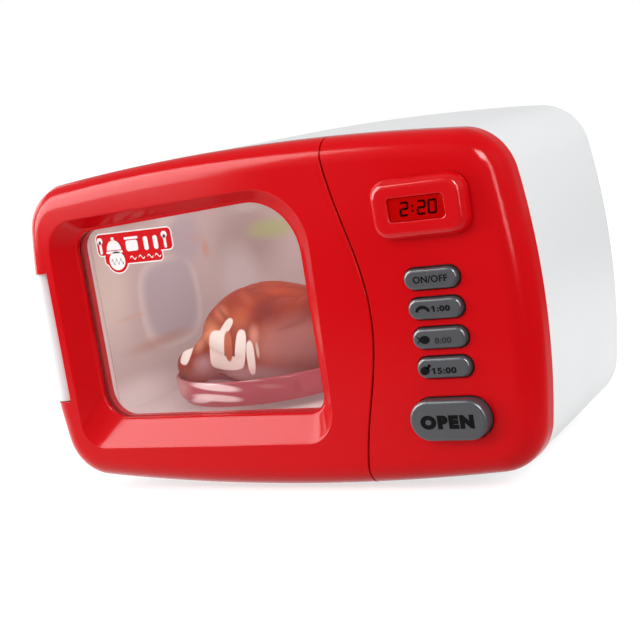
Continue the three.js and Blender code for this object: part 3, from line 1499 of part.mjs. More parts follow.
// Power
place('battery_box', batteryBox(), darkGreyPlastic);
for (let i = 0; i < batteryCount; i += 1) {
  const turn = i % 2 === 0 ? 0 : Math.PI;
  const cell = geometryOf(battery()).rotateZ(turn);
  const z = batteryBoxZ + ((i - ((batteryCount - 1) / 2)) * batteryPitch);
  place(`battery_${i + 1}`, cell, batteryJacket, [batteryBoxX, batteryY(), z]);
}
[-1, 1].forEach((side, i) => {
  const x = batteryBoxX + (side * ((batteryLength / 2) + gap + (contactThickness / 2)));
  place(`battery_contact_${i + 1}`, contactPlate(), steel, [x, batteryY(), batteryBoxZ]);
});
place('battery_cover', batteryCover(), whitePlastic);
place('battery_cover_screw', screw(coverScrewLength), steel, [batteryBoxX, caseDepth - gap, coverScrewZ]);

// Fasteners and feet
casePostPlaces().forEach(([x, z], i) => {
  place(`case_screw_${i + 1}`, screw(caseScrewLength), steel,
    [x, caseSeatY + caseSeatThickness + gap + screwHeadHeight, z]);
});
footPlaces().forEach(([x, y], i) => {
  place(`foot_${i + 1}`, rubberFoot(), blackRubber, [x, y, -(caseHalfHeight + footReach)]);
});

// Stand the case on its feet, with the middle of its footprint at the origin
root.position.set(0, -(caseDepth - displayProud) / 2, caseHalfHeight + footReach);

export default root;
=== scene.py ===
"""Looks of a toy microwave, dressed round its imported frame.

Every size is in millimetres in the case frame: X runs to the right, Y runs from the front plane (zero)
to the back, and Z runs up from the middle of the case. Meshes are written in metres in the row frame.
"""

import json
import logging
import math
from collections.abc import Iterator
from contextlib import contextmanager
from dataclasses import dataclass
from enum import Enum

import bmesh
import bpy
from mathutils import Matrix, Vector, noise

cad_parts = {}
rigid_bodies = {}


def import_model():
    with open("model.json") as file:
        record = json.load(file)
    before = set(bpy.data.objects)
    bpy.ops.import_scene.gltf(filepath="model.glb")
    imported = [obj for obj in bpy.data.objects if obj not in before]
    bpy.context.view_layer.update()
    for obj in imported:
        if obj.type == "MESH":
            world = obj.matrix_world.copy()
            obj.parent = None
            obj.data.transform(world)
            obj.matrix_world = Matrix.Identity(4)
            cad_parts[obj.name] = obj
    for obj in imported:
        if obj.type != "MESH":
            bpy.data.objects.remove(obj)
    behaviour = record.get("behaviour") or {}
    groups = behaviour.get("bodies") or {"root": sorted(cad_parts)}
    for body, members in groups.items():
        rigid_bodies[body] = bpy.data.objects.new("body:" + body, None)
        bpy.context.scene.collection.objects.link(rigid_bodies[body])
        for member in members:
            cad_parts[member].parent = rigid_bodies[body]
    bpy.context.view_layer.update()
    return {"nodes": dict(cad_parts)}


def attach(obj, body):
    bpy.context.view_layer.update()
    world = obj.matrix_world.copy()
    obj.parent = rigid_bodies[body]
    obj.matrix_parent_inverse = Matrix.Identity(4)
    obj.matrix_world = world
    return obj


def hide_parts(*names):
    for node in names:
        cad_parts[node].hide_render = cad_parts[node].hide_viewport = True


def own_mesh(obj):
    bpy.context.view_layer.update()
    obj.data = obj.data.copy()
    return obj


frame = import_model()

LOG = logging.getLogger("toy_microwave")
METRE = 0.001
ROW_SHIFT = Vector((0.0, -72.0, 80.5))
QUARTER = math.pi / 2
FULL = 2 * math.pi
PRINT_DEPTH = 0.12
PRINT_SUNK = 0.05

Flat = tuple[float, float]
Place = tuple[float, float, float]
Outline = list[Flat]
Ring = list[Vector]
Faces = list[tuple[int, ...]]
Colour = tuple[int, int, int]
Body = bpy.types.Object
Outlet = bpy.types.NodeSocket
Wires = dict[str | int, object]


class Joining(Enum):
    """How one body changes another."""

    CUT = "DIFFERENCE"
    ADD = "UNION"
    SHARE = "INTERSECT"


class Slot(Enum):
    """Material slots of the record."""

    RED = "red_plastic"
    WHITE = "white_plastic"
    LINER = "liner_plastic"
    CLEAR = "clear_window"
    DISPLAY = "display_red"
    BUTTON = "button_grey"
    DARK = "dark_plastic"
    RUBBER = "rubber"
    STEEL = "steel"
    CARD = "printed_card"
    FOOD = "food_plastic"


class Side(Enum):
    """Sides of the seam between door and panel."""

    DOOR = -1
    PANEL = 1


# Outlines


def angles(start: float, end: float, steps: int) -> list[float]:
    """Evenly spaced angles, both ends included."""
    return [start + (end - start) * i / steps for i in range(steps + 1)]


def oval(x: float, z: float, half_width: float, half_height: float, start: float, end: float,
         steps: int) -> Outline:
    """Points on part of an oval about a middle, from the first angle to the last, both included."""
    return [(x + half_width * math.cos(a), z + half_height * math.sin(a)) for a in angles(start, end, steps)]


def arc(x: float, z: float, radius: float, start: float, end: float, steps: int) -> Outline:
    """Points on part of a circle, both ends included."""
    return oval(x, z, radius, radius, start, end, steps)


def rounded_outline(corners: list[tuple[float, float, float]], steps: int = 12) -> Outline:
    """Outline of corners with their own radii, anticlockwise.

    Args:
        corners: Place and radius of each corner.
        steps: Steps in each corner.

    Returns:
        The outline's points.
    """
    points = []
    for i, (x, z, radius) in enumerate(corners):
        place = Vector((x, z))
        to_before = (Vector(corners[i - 1][:2]) - place).normalized()
        to_after = (Vector(corners[(i + 1) % len(corners)][:2]) - place).normalized()
        half = math.acos(max(-1.0, min(1.0, to_before.dot(to_after)))) / 2
        centre = place + (to_before + to_after).normalized() * (radius / math.sin(half))
        tangent = place + to_before * (radius / math.tan(half)) - centre
        start = math.atan2(tangent.y, tangent.x)
        points += arc(centre.x, centre.y, radius, start, start + math.pi - 2 * half, steps)
    return points


def rectangle(x: float, z: float, width: float, height: float, radius: float, steps: int = 10) -> Outline:
    """Rounded rectangle round a middle.

    Args:
        x: Middle across.
        z: Middle height.
        width: Full width.
        height: Full height.
        radius: Corner radius.
        steps: Steps in each corner.

    Returns:
        The outline's points.
    """
    left, right = span(x, width / 2)
    bottom, top = span(z, height / 2)
    places = [(right, top), (left, top), (left, bottom), (right, bottom)]
    return rounded_outline([(*place, radius) for place in places], steps)


def stadium(x: float, z: float, width: float, height: float, steps: int = 20) -> Outline:
    """Outline of two half circles joined by straight lines.

    Args:
        x: Middle across.
        z: Middle height.
        width: Full width.
        height: Full height.
        steps: Steps in each half circle.

    Returns:
        The outline's points.
    """
    radius = height / 2
    straight = width / 2 - radius
    right = arc(x + straight, z, radius, -QUARTER, QUARTER, steps)
    left = arc(x - straight, z, radius, QUARTER, 3 * QUARTER, steps)
    return right + left


def wave(x: float, z: float, length: float, height: float, thickness: float) -> Outline:
    """Outline of one small wave line.

    Args:
        x: Place of its left end.
        z: Height of its left end.
        length: Length of the wave.
        height: Height of its crest.
        thickness: Thickness of the line.

    Returns:
        The outline's points.
    """
    steps = 12
    upper = [(x + length * i / steps, z + height * math.sin(FULL * i / steps)) for i in range(steps + 1)]
    return upper + [(px, pz - thickness) for px, pz in reversed(upper)]


def span(middle: float, half: float) -> Flat:
    """Both ends of a length round its middle."""
    return (middle - half, middle + half)


def ring_at(outline: Outline, y: float) -> Ring:
    """Sets an outline at a depth."""
    return [Vector((x, y, z)) for x, z in outline]


def between(first: Ring, second: Ring, share: float) -> Ring:
    """Ring that lies a share of the way from one ring to another."""
    return [a.lerp(b, share) for a, b in zip(first, second)]


def rounded_step(start: Ring, corner: Ring, end: Ring, steps: int = 5) -> list[Ring]:
    """Rings that turn smoothly from one ring to another round a corner ring.

    Args:
        start: First ring.
        corner: Ring that the curve turns towards.
        end: Last ring.
        steps: Steps of the turn.

    Returns:
        The rings, both ends included.
    """
    rings = []
    for i in range(steps + 1):
        share = i / steps
        rings.append(between(between(start, corner, share), between(corner, end, share), share))
    return rings


# Bodies


def row_place(point: Vector | Place) -> Vector:
    """Turns a case-frame place in millimetres into a row-frame place in metres."""
    return (Vector(point) + ROW_SHIFT) * METRE


def add_object(name: str, data: bpy.types.ID) -> Body:
    """Adds an object to the scene, at the origin.

    Args:
        name: Name of the object.
        data: Its mesh, light or camera.

    Returns:
        The object.
    """
    body = bpy.data.objects.new(name, data)
    bpy.context.scene.collection.objects.link(body)
    return body


def add_mesh(name: str, points: list[Vector] | list[Place], faces: Faces) -> Body:
    """Adds a mesh object.

    Args:
        name: Name of the object.
        points: Places in metres.
        faces: Point numbers of each face.

    Returns:
        The object.
    """
    mesh = bpy.data.meshes.new(name)
    mesh.from_pydata(points, [], faces)
    mesh.update()
    return add_object(name, mesh)


def loft(name: str, rings: list[Ring]) -> Body:
    """Closed body through rings of equally many points, its faces turned outwards.

    Args:
        name: Name of the object.
        rings: Rings in order, in millimetres.

    Returns:
        The object.
    """
    count = len(rings[0])
    points = [point for ring in rings for point in ring]
    faces = []
    for level in range(len(rings) - 1):
        for i in range(count):
            first = level * count + i
            second = level * count + (i + 1) % count
            faces.append((first, second, second + count, first + count))
    last = (len(rings) - 1) * count
    faces += [tuple(reversed(range(count))), tuple(range(last, last + count))]
    volume = 0.0
    for first, *others in faces:
        for second, third in zip(others, others[1:]):
            volume += points[first].dot(points[second].cross(points[third]))
    if volume < 0:
        faces = [tuple(reversed(face)) for face in faces]
    return add_mesh(name, [row_place(point) for point in points], faces)


def prism(name: str, outline: Outline, front: float, back: float) -> Body:
    """Flat piece of one outline between two depths."""
    return loft(name, [ring_at(outline, front), ring_at(outline, back)])


def prism_down(name: str, outline: Outline, high: Flat) -> Body:
    """Flat piece of a plan-view outline between two heights."""
    return loft(name, [[Vector((x, y, z)) for x, y in outline] for z in high])


def plates(outlines: list[Outline], front: float, back: float) -> list[Body]:
    """Flat pieces between two depths."""
    return [prism("plate", outline, front, back) for outline in outlines]


def block(name: str, across: Flat, deep: Flat, high: Flat) -> Body:
    """Box between two places on each axis."""
    outline = [(across[1], high[1]), (across[0], high[1]), (across[0], high[0]), (across[1], high[0])]
    return prism(name, outline, deep[0], deep[1])


def bar(name: str, axis: str, radius: float, place: Flat, ends: Flat, sides: int = 40) -> Body:
    """Round bar along an axis.

    Args:
        name: Name of the object.
        axis: Letter of the axis.
        radius: Radius of the bar.
        place: Middle on the two other axes, in alphabetical order.
        ends: Both ends on the axis.
        sides: Number of sides.

    Returns:
        The object.
    """
    circle = arc(place[0], place[1], radius, 0.0, FULL, sides)[:-1]
    order = {"X": lambda u, v, t: (t, u, v), "Y": lambda u, v, t: (u, t, v), "Z": lambda u, v, t: (u, v, t)}
    rings = [[Vector(order[axis](u, v, end)) for u, v in circle] for end in ends]
    return loft(name, rings)


@contextmanager
def opened(mesh: bpy.types.Mesh) -> Iterator[bmesh.types.BMesh]:
    """Opens a mesh for changes and writes them back.

    Args:
        mesh: Mesh to change.

    Yields:
        The open mesh.
    """
    work = bmesh.new()
    work.from_mesh(mesh)
    yield work
    work.to_mesh(mesh)
    work.free()


def settle(body: Body) -> Body:
    """Turns a body and its modifiers into a plain mesh, with no modifier left.

    Args:
        body: Body to settle.

    Returns:
        The body.
    """
    graph = bpy.context.evaluated_depsgraph_get()
    mesh = bpy.data.meshes.new_from_object(body.evaluated_get(graph), depsgraph=graph)
    body.modifiers.clear()
    old = body.data
    body.data = mesh
    mesh.name = body.name
    if old.users == 0:
        bpy.data.meshes.remove(old)
    return body


def discard(bodies: list[Body]) -> None:
    """Removes helper objects and their meshes.

    Args:
        bodies: Objects that are used up.
    """
    for body in bodies:
        mesh = body.data
        bpy.data.objects.remove(body)
        if mesh.users == 0:
            bpy.data.meshes.remove(mesh)


def combine(body: Body, joining: Joining, *tools: Body) -> Body:
    """Cuts, joins or overlaps a body with other bodies, which are used up.

    Args:
        body: Body that stays.
        joining: What the tools do to it.
        tools: Bodies that are used up.

    Returns:
        The body.
    """
    for tool in tools:
        modifier = body.modifiers.new(joining.name, "BOOLEAN")
        modifier.operation = joining.value
        modifier.solver = "MANIFOLD"
        modifier.object = tool
    settle(body)
    discard(tools)
    return body


def copied_node(name: str, new_name: str) -> Body:
    """Copy of a CAD node's mesh, its doubled points merged.

    Args:
        name: Name of the node.
        new_name: Name of the copy.

    Returns:
        The copy.
    """
    merge_distance = 0.000001
    body = add_object(new_name, frame["nodes"][name].data.copy())
    with opened(body.data) as work:
        bmesh.ops.remove_doubles(work, verts=work.verts, dist=merge_distance)
    return body


def join_loose(name: str, parts: list[Body]) -> Body:
    """Puts several bodies in one mesh without merging their walls.

    Args:
        name: Name of the new object.
        parts: Bodies that are used up.

    Returns:
        The new object.
    """
    whole = bmesh.new()
    for part in parts:
        whole.from_mesh(part.data)
    mesh = bpy.data.meshes.new(name)
    whole.to_mesh(mesh)
    whole.free()
    discard(parts)
    return add_object(name, mesh)


def polish(body: Body, angle: float = 26.0) -> Body:
    """Merges doubled points and shades smoothly, flat faces staying flat.

    Args:
        body: Body to shade.
        angle: Angle in degrees past which an edge stays sharp.

    Returns:
        The body.
    """
    merge_distance = 0.000002
    with opened(body.data) as work:
        bmesh.ops.remove_doubles(work, verts=work.verts, dist=merge_distance)
        bmesh.ops.dissolve_degenerate(work, edges=work.edges, dist=merge_distance)
    body.data.shade_smooth()
    body.data.set_sharp_from_angle(angle=math.radians(angle))
    weighted = body.modifiers.new("flat_faces", "WEIGHTED_NORMAL")
    weighted.keep_sharp = True
    weighted.weight = 90
    return settle(body)


def lettering(name: str, text: str, box: tuple[float, ...], front: float, weight: float) -> Body:
    """Thin printed letters, fitted into a box on an upright face.

    Args:
        name: Name of the piece.
        text: Letters.
        box: Left, right, bottom and top.
        front: Depth of the face that they lie on.
        weight: Thickening of the strokes, as a share of the letters' size.

    Returns:
        The piece.
    """
    room_per_weight = 3.2
    half_depth = 0.5
    curve = bpy.data.curves.new(name, "FONT")
    curve.body = text
    curve.offset = weight
    curve.space_character = 1.0 + room_per_weight * weight
    curve.extrude = half_depth
    curve.resolution_u = 5
    holder = add_object(name, curve)
    graph = bpy.context.evaluated_depsgraph_get()
    mesh = bpy.data.meshes.new_from_object(holder.evaluated_get(graph), depsgraph=graph)
    bpy.data.objects.remove(holder)
    bpy.data.curves.remove(curve)
    left, right, bottom, top = box
    low = [min(vert.co[i] for vert in mesh.vertices) for i in (0, 1)]
    size = [max(vert.co[i] for vert in mesh.vertices) - low[i] for i in (0, 1)]
    for vert in mesh.vertices:
        across = left + (vert.co.x - low[0]) / size[0] * (right - left)
        high = bottom + (vert.co.y - low[1]) / size[1] * (top - bottom)
        deep = front + PRINT_SUNK - (PRINT_DEPTH + PRINT_SUNK) * (vert.co.z + half_depth)
        vert.co = row_place(Vector((across, deep, high)))
    return polish(add_object(name, mesh))


# Node trees


class Socket(Enum):
    """Kinds of socket that a node group has."""

    NUMBER = "NodeSocketFloat"
    WHOLE = "NodeSocketInt"
    VECTOR = "NodeSocketVector"
    COLOUR = "NodeSocketColor"
    SHAPE = "NodeSocketGeometry"
    MATERIAL = "NodeSocketMaterial"


class Wiring:
    """Fills a node tree: each node is added together with what feeds its inputs."""

    def __init__(self, tree: bpy.types.NodeTree) -> None:
        """Takes the tree."""
        self.tree = tree

    def feed(self, node: bpy.types.Node, wires: Wires) -> bpy.types.Node:
        """Feeds a node's inputs.

        Args:
            node: The node.
            wires: Sockets, lists of them, or plain values for its inputs, by name or number.

        Returns:
            The node.
        """
        for key, value in wires.items():
            if isinstance(value, (Outlet, list)):
                for outlet in value if isinstance(value, list) else [value]:
                    self.tree.links.new(outlet, node.inputs[key])
            else:
                node.inputs[key].default_value = value
        return node

    def node(self, kind: str, wires: Wires | None = None, **settings: object) -> bpy.types.Node:
        """Adds a node.

        Args:
            kind: The node's type.
            wires: Sockets or plain values for its inputs, by name or number.
            settings: Properties of the node.

        Returns:
            The node.
        """
        node = self.tree.nodes.new(kind)
        for key, value in settings.items():
            setattr(node, key, value)
        return self.feed(node, wires or {})

    def sum_of(self, operation: str, *values: object) -> Outlet:
        """Result of a sum of numbers."""
        return self.node("ShaderNodeMath", dict(enumerate(values)), operation=operation).outputs[0]

    def vector_sum(self, operation: str, *values: object, result: str = "Vector") -> Outlet:
        """Result of a sum of vectors."""
        return self.node("ShaderNodeVectorMath", dict(enumerate(values)), operation=operation).outputs[result]

    def vector_of(self, **parts: object) -> Outlet:
        """Vector put together from its parts X, Y and Z."""
        return self.node("ShaderNodeCombineXYZ", parts).outputs[0]

    def mixed(self, share: object, under: object, over: object) -> Outlet:
        """Two colours mixed."""
        return self.node("ShaderNodeMix", {0: share, 6: under, 7: over}, data_type="RGBA").outputs[2]


class Group(Wiring):
    """Node group with named inputs and outputs."""

    def __init__(self, name: str, kind: str, inputs: dict[str, Socket], outputs: dict[str, Socket]) -> None:
        """Starts the group.

        Args:
            name: Name of the group.
            kind: Type of its tree.
            inputs: Kind of each input.
            outputs: Kind of each output.
        """
        super().__init__(bpy.data.node_groups.new(name, kind))
        self.ids: dict[str, str] = {}
        for label, socket in inputs.items():
            added = self.tree.interface.new_socket(name=label, in_out="INPUT", socket_type=socket.value)
            self.ids[label] = added.identifier
        for label, socket in outputs.items():
            self.tree.interface.new_socket(name=label, in_out="OUTPUT", socket_type=socket.value)
        self.given = self.tree.nodes.new("NodeGroupInput").outputs
        self.result = self.tree.nodes.new("NodeGroupOutput")

    def close(self, wires: Wires) -> bpy.types.NodeTree:
        """Feeds the group's outputs and gives back its tree."""
        self.feed(self.result, wires)
        return self.tree


# Finishes


def linear(red: int, green: int, blue: int) -> tuple[float, float, float, float]:
    """Display colour from 0 to 255 as the renderer's linear colour."""
    def one(value: int) -> float:
        """One channel."""
        share = value / 255
        return share / 12.92 if share <= 0.04045 else ((share + 0.055) / 1.055) ** 2.4
    return (one(red), one(green), one(blue), 1.0)


def moulded_surface() -> bpy.types.NodeTree:
    """Faint clouding, uneven gloss and fine orange peel of moulded plastic.

    Returns:
        The group.
    """
    number = Socket.NUMBER
    group = Group("moulded_surface", "ShaderNodeTree", {
        "Vector": Socket.VECTOR, "Base Color": Socket.COLOUR, "Cloud Color": Socket.COLOUR,
        "Cloud Share": number, "Cloud Scale": number, "Roughness": number, "Roughness Spread": number,
        "Grain Scale": number,
    }, {"Color": Socket.COLOUR, "Roughness": number, "Height": number})
    given = group.given
    cloud = group.node("ShaderNodeTexNoise", {"Vector": given["Vector"], "Scale": given["Cloud Scale"],
                                              "Detail": 3.0}).outputs["Fac"]
    grain = group.node("ShaderNodeTexNoise", {"Vector": given["Vector"], "Scale": given["Grain Scale"],
                                              "Detail": 2.0}).outputs["Fac"]
    share = group.sum_of("MULTIPLY", cloud, given["Cloud Share"])
    gloss = group.node("ShaderNodeMapRange", {"Value": cloud, "From Min": 0.3, "From Max": 0.7})
    spread = group.sum_of("MULTIPLY", gloss.outputs["Result"], given["Roughness Spread"])
    return group.close({"Color": group.mixed(share, given["Base Color"], given["Cloud Color"]),
                        "Roughness": group.sum_of("ADD", given["Roughness"], spread), "Height": grain})


def soft_spot() -> bpy.types.NodeTree:
    """Soft round, long or squarish spot, blended over what lies under it.

    Returns:
        The group.
    """
    number = Socket.NUMBER
    group = Group("soft_spot", "ShaderNodeTree", {
        "Vector": Socket.VECTOR, "Under": Socket.COLOUR, "Spot Color": Socket.COLOUR, "Middle": Socket.VECTOR,
        "Reach": Socket.VECTOR, "Strength": number, "Edge": number, "Lean": number, "Squareness": number,
    }, {"Color": Socket.COLOUR})
    given = group.given
    away = group.vector_sum("SUBTRACT", given["Vector"], given["Middle"])
    leaning = group.node("ShaderNodeVectorRotate", {"Vector": away, "Angle": given["Lean"]},
                         rotation_type="Z_AXIS")
    scaled = group.vector_sum("DIVIDE", leaning.outputs[0], given["Reach"])
    round_reach = group.vector_sum("LENGTH", scaled, result="Value")
    squared = group.vector_sum("MULTIPLY", scaled, scaled)
    square_reach = group.sum_of("SQRT", group.vector_sum("LENGTH", squared, result="Value"))
    reach = group.node("ShaderNodeMix", {0: given["Squareness"], 2: round_reach, 3: square_reach})
    fade = group.node("ShaderNodeMapRange", {
        "Value": reach.outputs[0], "From Min": group.sum_of("SUBTRACT", 1.0, given["Edge"]), "From Max": 1.0,
        "To Min": 1.0, "To Max": 0.0}, interpolation_type="SMOOTHSTEP")
    strength = group.sum_of("MULTIPLY", fade.outputs["Result"], given["Strength"])
    return group.close({"Color": group.mixed(strength, given["Under"], given["Spot Color"])})


MOULDED_SURFACE = moulded_surface()
SOFT_SPOT = soft_spot()
PHOTO_TURN = Matrix(((0.84881, 0.06031, 0.52525), (0.50399, 0.20785, -0.83833),
                     (-0.15974, 0.97630, 0.14603))).to_euler("XYZ")


@dataclass(frozen=True)
class Spot:
    """Soft spot of colour; place and reach in mm, in the case frame or flat in the photo's turned one."""

    colour: Colour
    middle: tuple[float, ...]
    reach: tuple[float, ...]
    strength: float = 1.0
    edge: float = 0.8
    lean: float = 0.0
    square: float = 0.0


def spots_of(*rows: tuple[object, ...]) -> tuple[Spot, ...]:
    """Spots from rows that list each one's fields in order."""
    return tuple(Spot(*row) for row in rows)


@dataclass(frozen=True)
class Finish:
    """Moulded surface: colour, gloss, grain, and soft spots, turned where they reach through a depth."""

    name: str
    colour: Colour
    cloud: Colour
    roughness: float
    spread: float = 0.05
    cloud_share: float = 0.3
    cloud_scale: float = 16.0
    grain_scale: float = 900.0
    grain_depth: float = 0.00001
    metallic: float = 0.0
    specular: float = 0.5
    alpha: float = 1.0
    # Emission strength: a lamp's own light on its lens, and painted light on parts that are no lamp.
    glow: float = 0.0
    through: float = 0.0
    spots: tuple[Spot, ...] = ()

    def build(self) -> bpy.types.Material:
        """Makes the material, or gives it back where it is made already.

        Returns:
            The material.
        """
        known = bpy.data.materials.get(self.name)
        if known is not None:
            return known
        material = bpy.data.materials.new(self.name)
        material.use_nodes = True
        wiring = Wiring(material.node_tree)
        where = wiring.node("ShaderNodeTexCoord").outputs["Object"]
        surface = wiring.node("ShaderNodeGroup", {
            "Vector": where, "Base Color": linear(*self.colour), "Cloud Color": linear(*self.cloud),
            "Cloud Share": self.cloud_share, "Cloud Scale": self.cloud_scale, "Roughness": self.roughness,
            "Roughness Spread": self.spread, "Grain Scale": self.grain_scale,
        }, node_tree=MOULDED_SURFACE).outputs
        if self.through:
            where = wiring.node("ShaderNodeVectorRotate", {"Vector": where, "Rotation": PHOTO_TURN},
                                rotation_type="EULER_XYZ", invert=True).outputs["Vector"]
        colour = surface["Color"]
        for spot in self.spots:
            middle = Vector((*spot.middle, 0.0)) * METRE if self.through else row_place(spot.middle)
            reach = Vector((*spot.reach, self.through)[:3]) * METRE
            colour = wiring.node("ShaderNodeGroup", {
                "Vector": where, "Under": colour, "Spot Color": linear(*spot.colour), "Middle": middle,
                "Reach": reach, "Strength": spot.strength, "Edge": spot.edge,
                "Lean": math.radians(spot.lean), "Squareness": spot.square,
            }, node_tree=SOFT_SPOT).outputs["Color"]
        bump = wiring.node("ShaderNodeBump", {"Distance": self.grain_depth, "Height": surface["Height"]})
        shader = wiring.feed(wiring.tree.nodes["Principled BSDF"], {
            "Base Color": colour, "Roughness": surface["Roughness"], "Normal": bump.outputs["Normal"],
            "Metallic": self.metallic, "Specular IOR Level": self.specular, "Alpha": self.alpha})
        if self.glow:
            wiring.feed(shader, {"Emission Color": colour, "Emission Strength": self.glow})
        return material


RED_PLASTIC = Finish("red_gloss_plastic", (198, 4, 12), (206, 12, 22), 0.12, specular=0.1, cloud_share=0.5)
RED_PRINT = Finish("red_sticker_print", (206, 8, 18), (196, 6, 16), 0.3, specular=0.03)
WHITE_PLASTIC = Finish("white_satin_plastic", (232, 233, 234), (226, 227, 229), 0.34, specular=0.3,
                       grain_depth=0.00002)
# The liner's glow is painted light that stands in for the light inside the cooking space.
LINER_PLASTIC = Finish("pale_liner_plastic", (224, 210, 208), (210, 196, 194), 0.5, specular=0.2,
                       cloud_share=0.5, cloud_scale=9.0, glow=0.2)
WINDOW_PLASTIC = Finish("tinted_clear_window", (206, 186, 184), (190, 172, 178), 0.09, spread=0.02,
                        specular=0.2, alpha=0.045, cloud_share=0.6, cloud_scale=12.0)
SURROUND_PLASTIC = Finish("red_surround_plastic", (200, 4, 12), (208, 12, 22), 0.1, specular=0.24,
                          cloud_share=0.5)
DISPLAY_PLASTIC = Finish("dark_red_display_window", (204, 5, 4), (192, 3, 3), 0.1, spread=0.02,
                         specular=0.04, alpha=0.72)
DISPLAY_CARD = Finish("red_display_card", (184, 12, 14), (168, 8, 10), 0.6, specular=0.1)
BUTTON_PLASTIC = Finish("grey_button_plastic", (68, 69, 73), (61, 62, 66), 0.25, specular=0.5,
                        grain_depth=0.00003)
BLACK_PRINT = Finish("black_button_print", (14, 13, 14), (22, 20, 21), 0.5, specular=0.03)
DIGIT_INK = Finish("dark_digit_ink", (46, 2, 2), (38, 2, 2), 0.6, specular=0.0)
SOFT_PRINT = Finish("dark_grey_button_print", (34, 33, 35), (28, 27, 29), 0.5, specular=0.03)
FAINT_PRINT = Finish("grey_button_print", (48, 47, 49), (40, 39, 41), 0.5, specular=0.03)
WHITE_PRINT = Finish("white_sticker_print", (240, 238, 237), (232, 230, 229), 0.35, specular=0.05)
DARK_PLASTIC = Finish("dark_grey_plastic", (84, 85, 88), (70, 71, 74), 0.45, specular=0.3)
GEAR_PLASTIC = Finish("cream_gear_plastic", (240, 236, 224), (224, 219, 204), 0.42, specular=0.3,
                      grain_depth=0.00002)
RUBBER = Finish("black_rubber", (34, 34, 36), (26, 26, 28), 0.72, specular=0.25, grain_scale=1400.0,
                grain_depth=0.00005)
STEEL = Finish("plated_steel", (186, 188, 192), (150, 152, 156), 0.26, spread=0.16, metallic=1.0,
               cloud_scale=120.0, grain_scale=1600.0, grain_depth=0.000015)
# Painted highlights: the crisp white reflections on the bird's glossy lower front, drawn into its colour.
BIRD_PAINTED_HIGHLIGHT = (242, 228, 218)
# The bird's glow is painted light that stands in for the light inside the cooking space.
ROAST = Finish("roast_bird_plastic", (164, 56, 14), (124, 22, 4), 0.22, spread=0.08, specular=0.02,
               cloud_share=0.95, cloud_scale=70.0, grain_scale=420.0, grain_depth=0.00006, glow=0.22,
               through=40.0, spots=spots_of(
    ((120, 20, 8), (-46.8, 69.0), (10.0, 11.0), 0.9, 0.9, 20),
    ((180, 78, 40), (-58.0, 76.0), (9.0, 4.0), 0.6, 0.9, 45),
    ((176, 62, 16), (-39.7, 79.4), (13.0, 2.8), 0.6),
    ((232, 146, 100), (-78.5, 60.0), (14.0, 10.0), 0.85, 0.9, 40),
    ((222, 130, 92), (-71.1, 68.5), (8.0, 6.0), 0.8, 0.9, 40),
    ((230, 156, 122), (-82.7, 52.4), (5.0, 8.0), 0.8, 0.9, 20),
    ((204, 98, 56), (-61.0, 66.0), (8.0, 9.0), 0.6, 0.9, 40),
    ((130, 34, 18), (-70.0, 68.0), (12.0, 2.2), 0.7, 0.9, 48),
    ((172, 72, 48), (-45.0, 55.5), (4.0, 11.0), 0.7, 0.9, 30),
    ((184, 116, 104), (-43.8, 52.0), (14.0, 16.0), 0.75, 0.8),
    ((228, 152, 128), (-53.4, 57.2), (4.0, 8.0), 0.7, 0.9),
    ((170, 104, 98), (-30.0, 54.0), (22.0, 20.0), 0.95, 0.7),
    ((146, 70, 62), (-36.0, 62.0), (13.0, 1.8), 0.6, 0.9, -20),
    ((176, 134, 136), (-60.0, 37.0), (46.0, 7.5), 0.9),
    ((192, 152, 154), (-80.0, 42.0), (9.0, 8.0), 0.85),
    # These rows paint the white highlights on the bird's lower front. The orange row fills a gap between two
    # of them, and the last row is a fainter painted highlight.
    (BIRD_PAINTED_HIGHLIGHT, (-89.2, 47.6), (2.7, 6.6), 1.0, 0.12, 18, 0.8),
    (BIRD_PAINTED_HIGHLIGHT, (-67.9, 61.0), (2.3, 6.0), 1.0, 0.15, 32, 0.5),
    (BIRD_PAINTED_HIGHLIGHT, (-72.7, 49.9), (4.3, 10.4), 1.0, 0.12, 0, 0.8),
    (BIRD_PAINTED_HIGHLIGHT, (-60.3, 50.2), (2.9, 10.6), 1.0, 0.12, 4, 0.7),
    (BIRD_PAINTED_HIGHLIGHT, (-67.4, 43.0), (8.6, 4.0), 1.0, 0.12, 0, 0.6),
    (BIRD_PAINTED_HIGHLIGHT, (-70.0, 55.0), (4.4, 3.0), 1.0, 0.15, 20, 0.3),
    ((186, 92, 58), (-66.6, 51.6), (2.3, 8.6), 1.0, 0.2, -3, 0.3),
    (BIRD_PAINTED_HIGHLIGHT, (-55.0, 46.0), (2.2, 9.4), 1.0, 0.15, -5, 0.5),
    ((226, 196, 184), (-51.6, 50.0), (1.0, 5.0), 0.7, 0.4, -8)))
# Painted reflections: the pale blades of light on the dish's rim, drawn into its colour.
DISH_PAINTED_REFLECTION = (240, 208, 208)
# The dish's glow is painted light that stands in for the light inside the cooking space.
DISH_PLASTIC = Finish("red_dish_plastic", (178, 74, 84), (156, 58, 70), 0.14, specular=0.15, cloud_share=0.8,
                      cloud_scale=30.0, glow=0.12, through=60.0, spots=spots_of(
    # These rows paint the highlights and reflections on the dish's rim and wall, and one small darker patch.
    ((206, 138, 140), (-91.4, 30.6), (9.0, 7.0), 0.8),
    ((196, 130, 132), (-44.6, 33.0), (11.0, 1.9), 0.6),
    ((146, 48, 60), (-31.3, 33.0), (3.2, 5.0), 0.7),
    (DISH_PAINTED_REFLECTION, (-71.2, 32.0), (16.0, 2.3), 0.95, 0.4, 4, 0.2),
    (DISH_PAINTED_REFLECTION, (-70.4, 26.7), (15.6, 2.2), 0.9, 0.4, 2, 0.3),
    (DISH_PAINTED_REFLECTION, (-78.0, 25.6), (8.0, 2.2), 0.8, 0.5, -8, 0.2),
    ((214, 160, 162), (-56.0, 35.6), (12.0, 0.8), 0.7, 0.6, -2)))
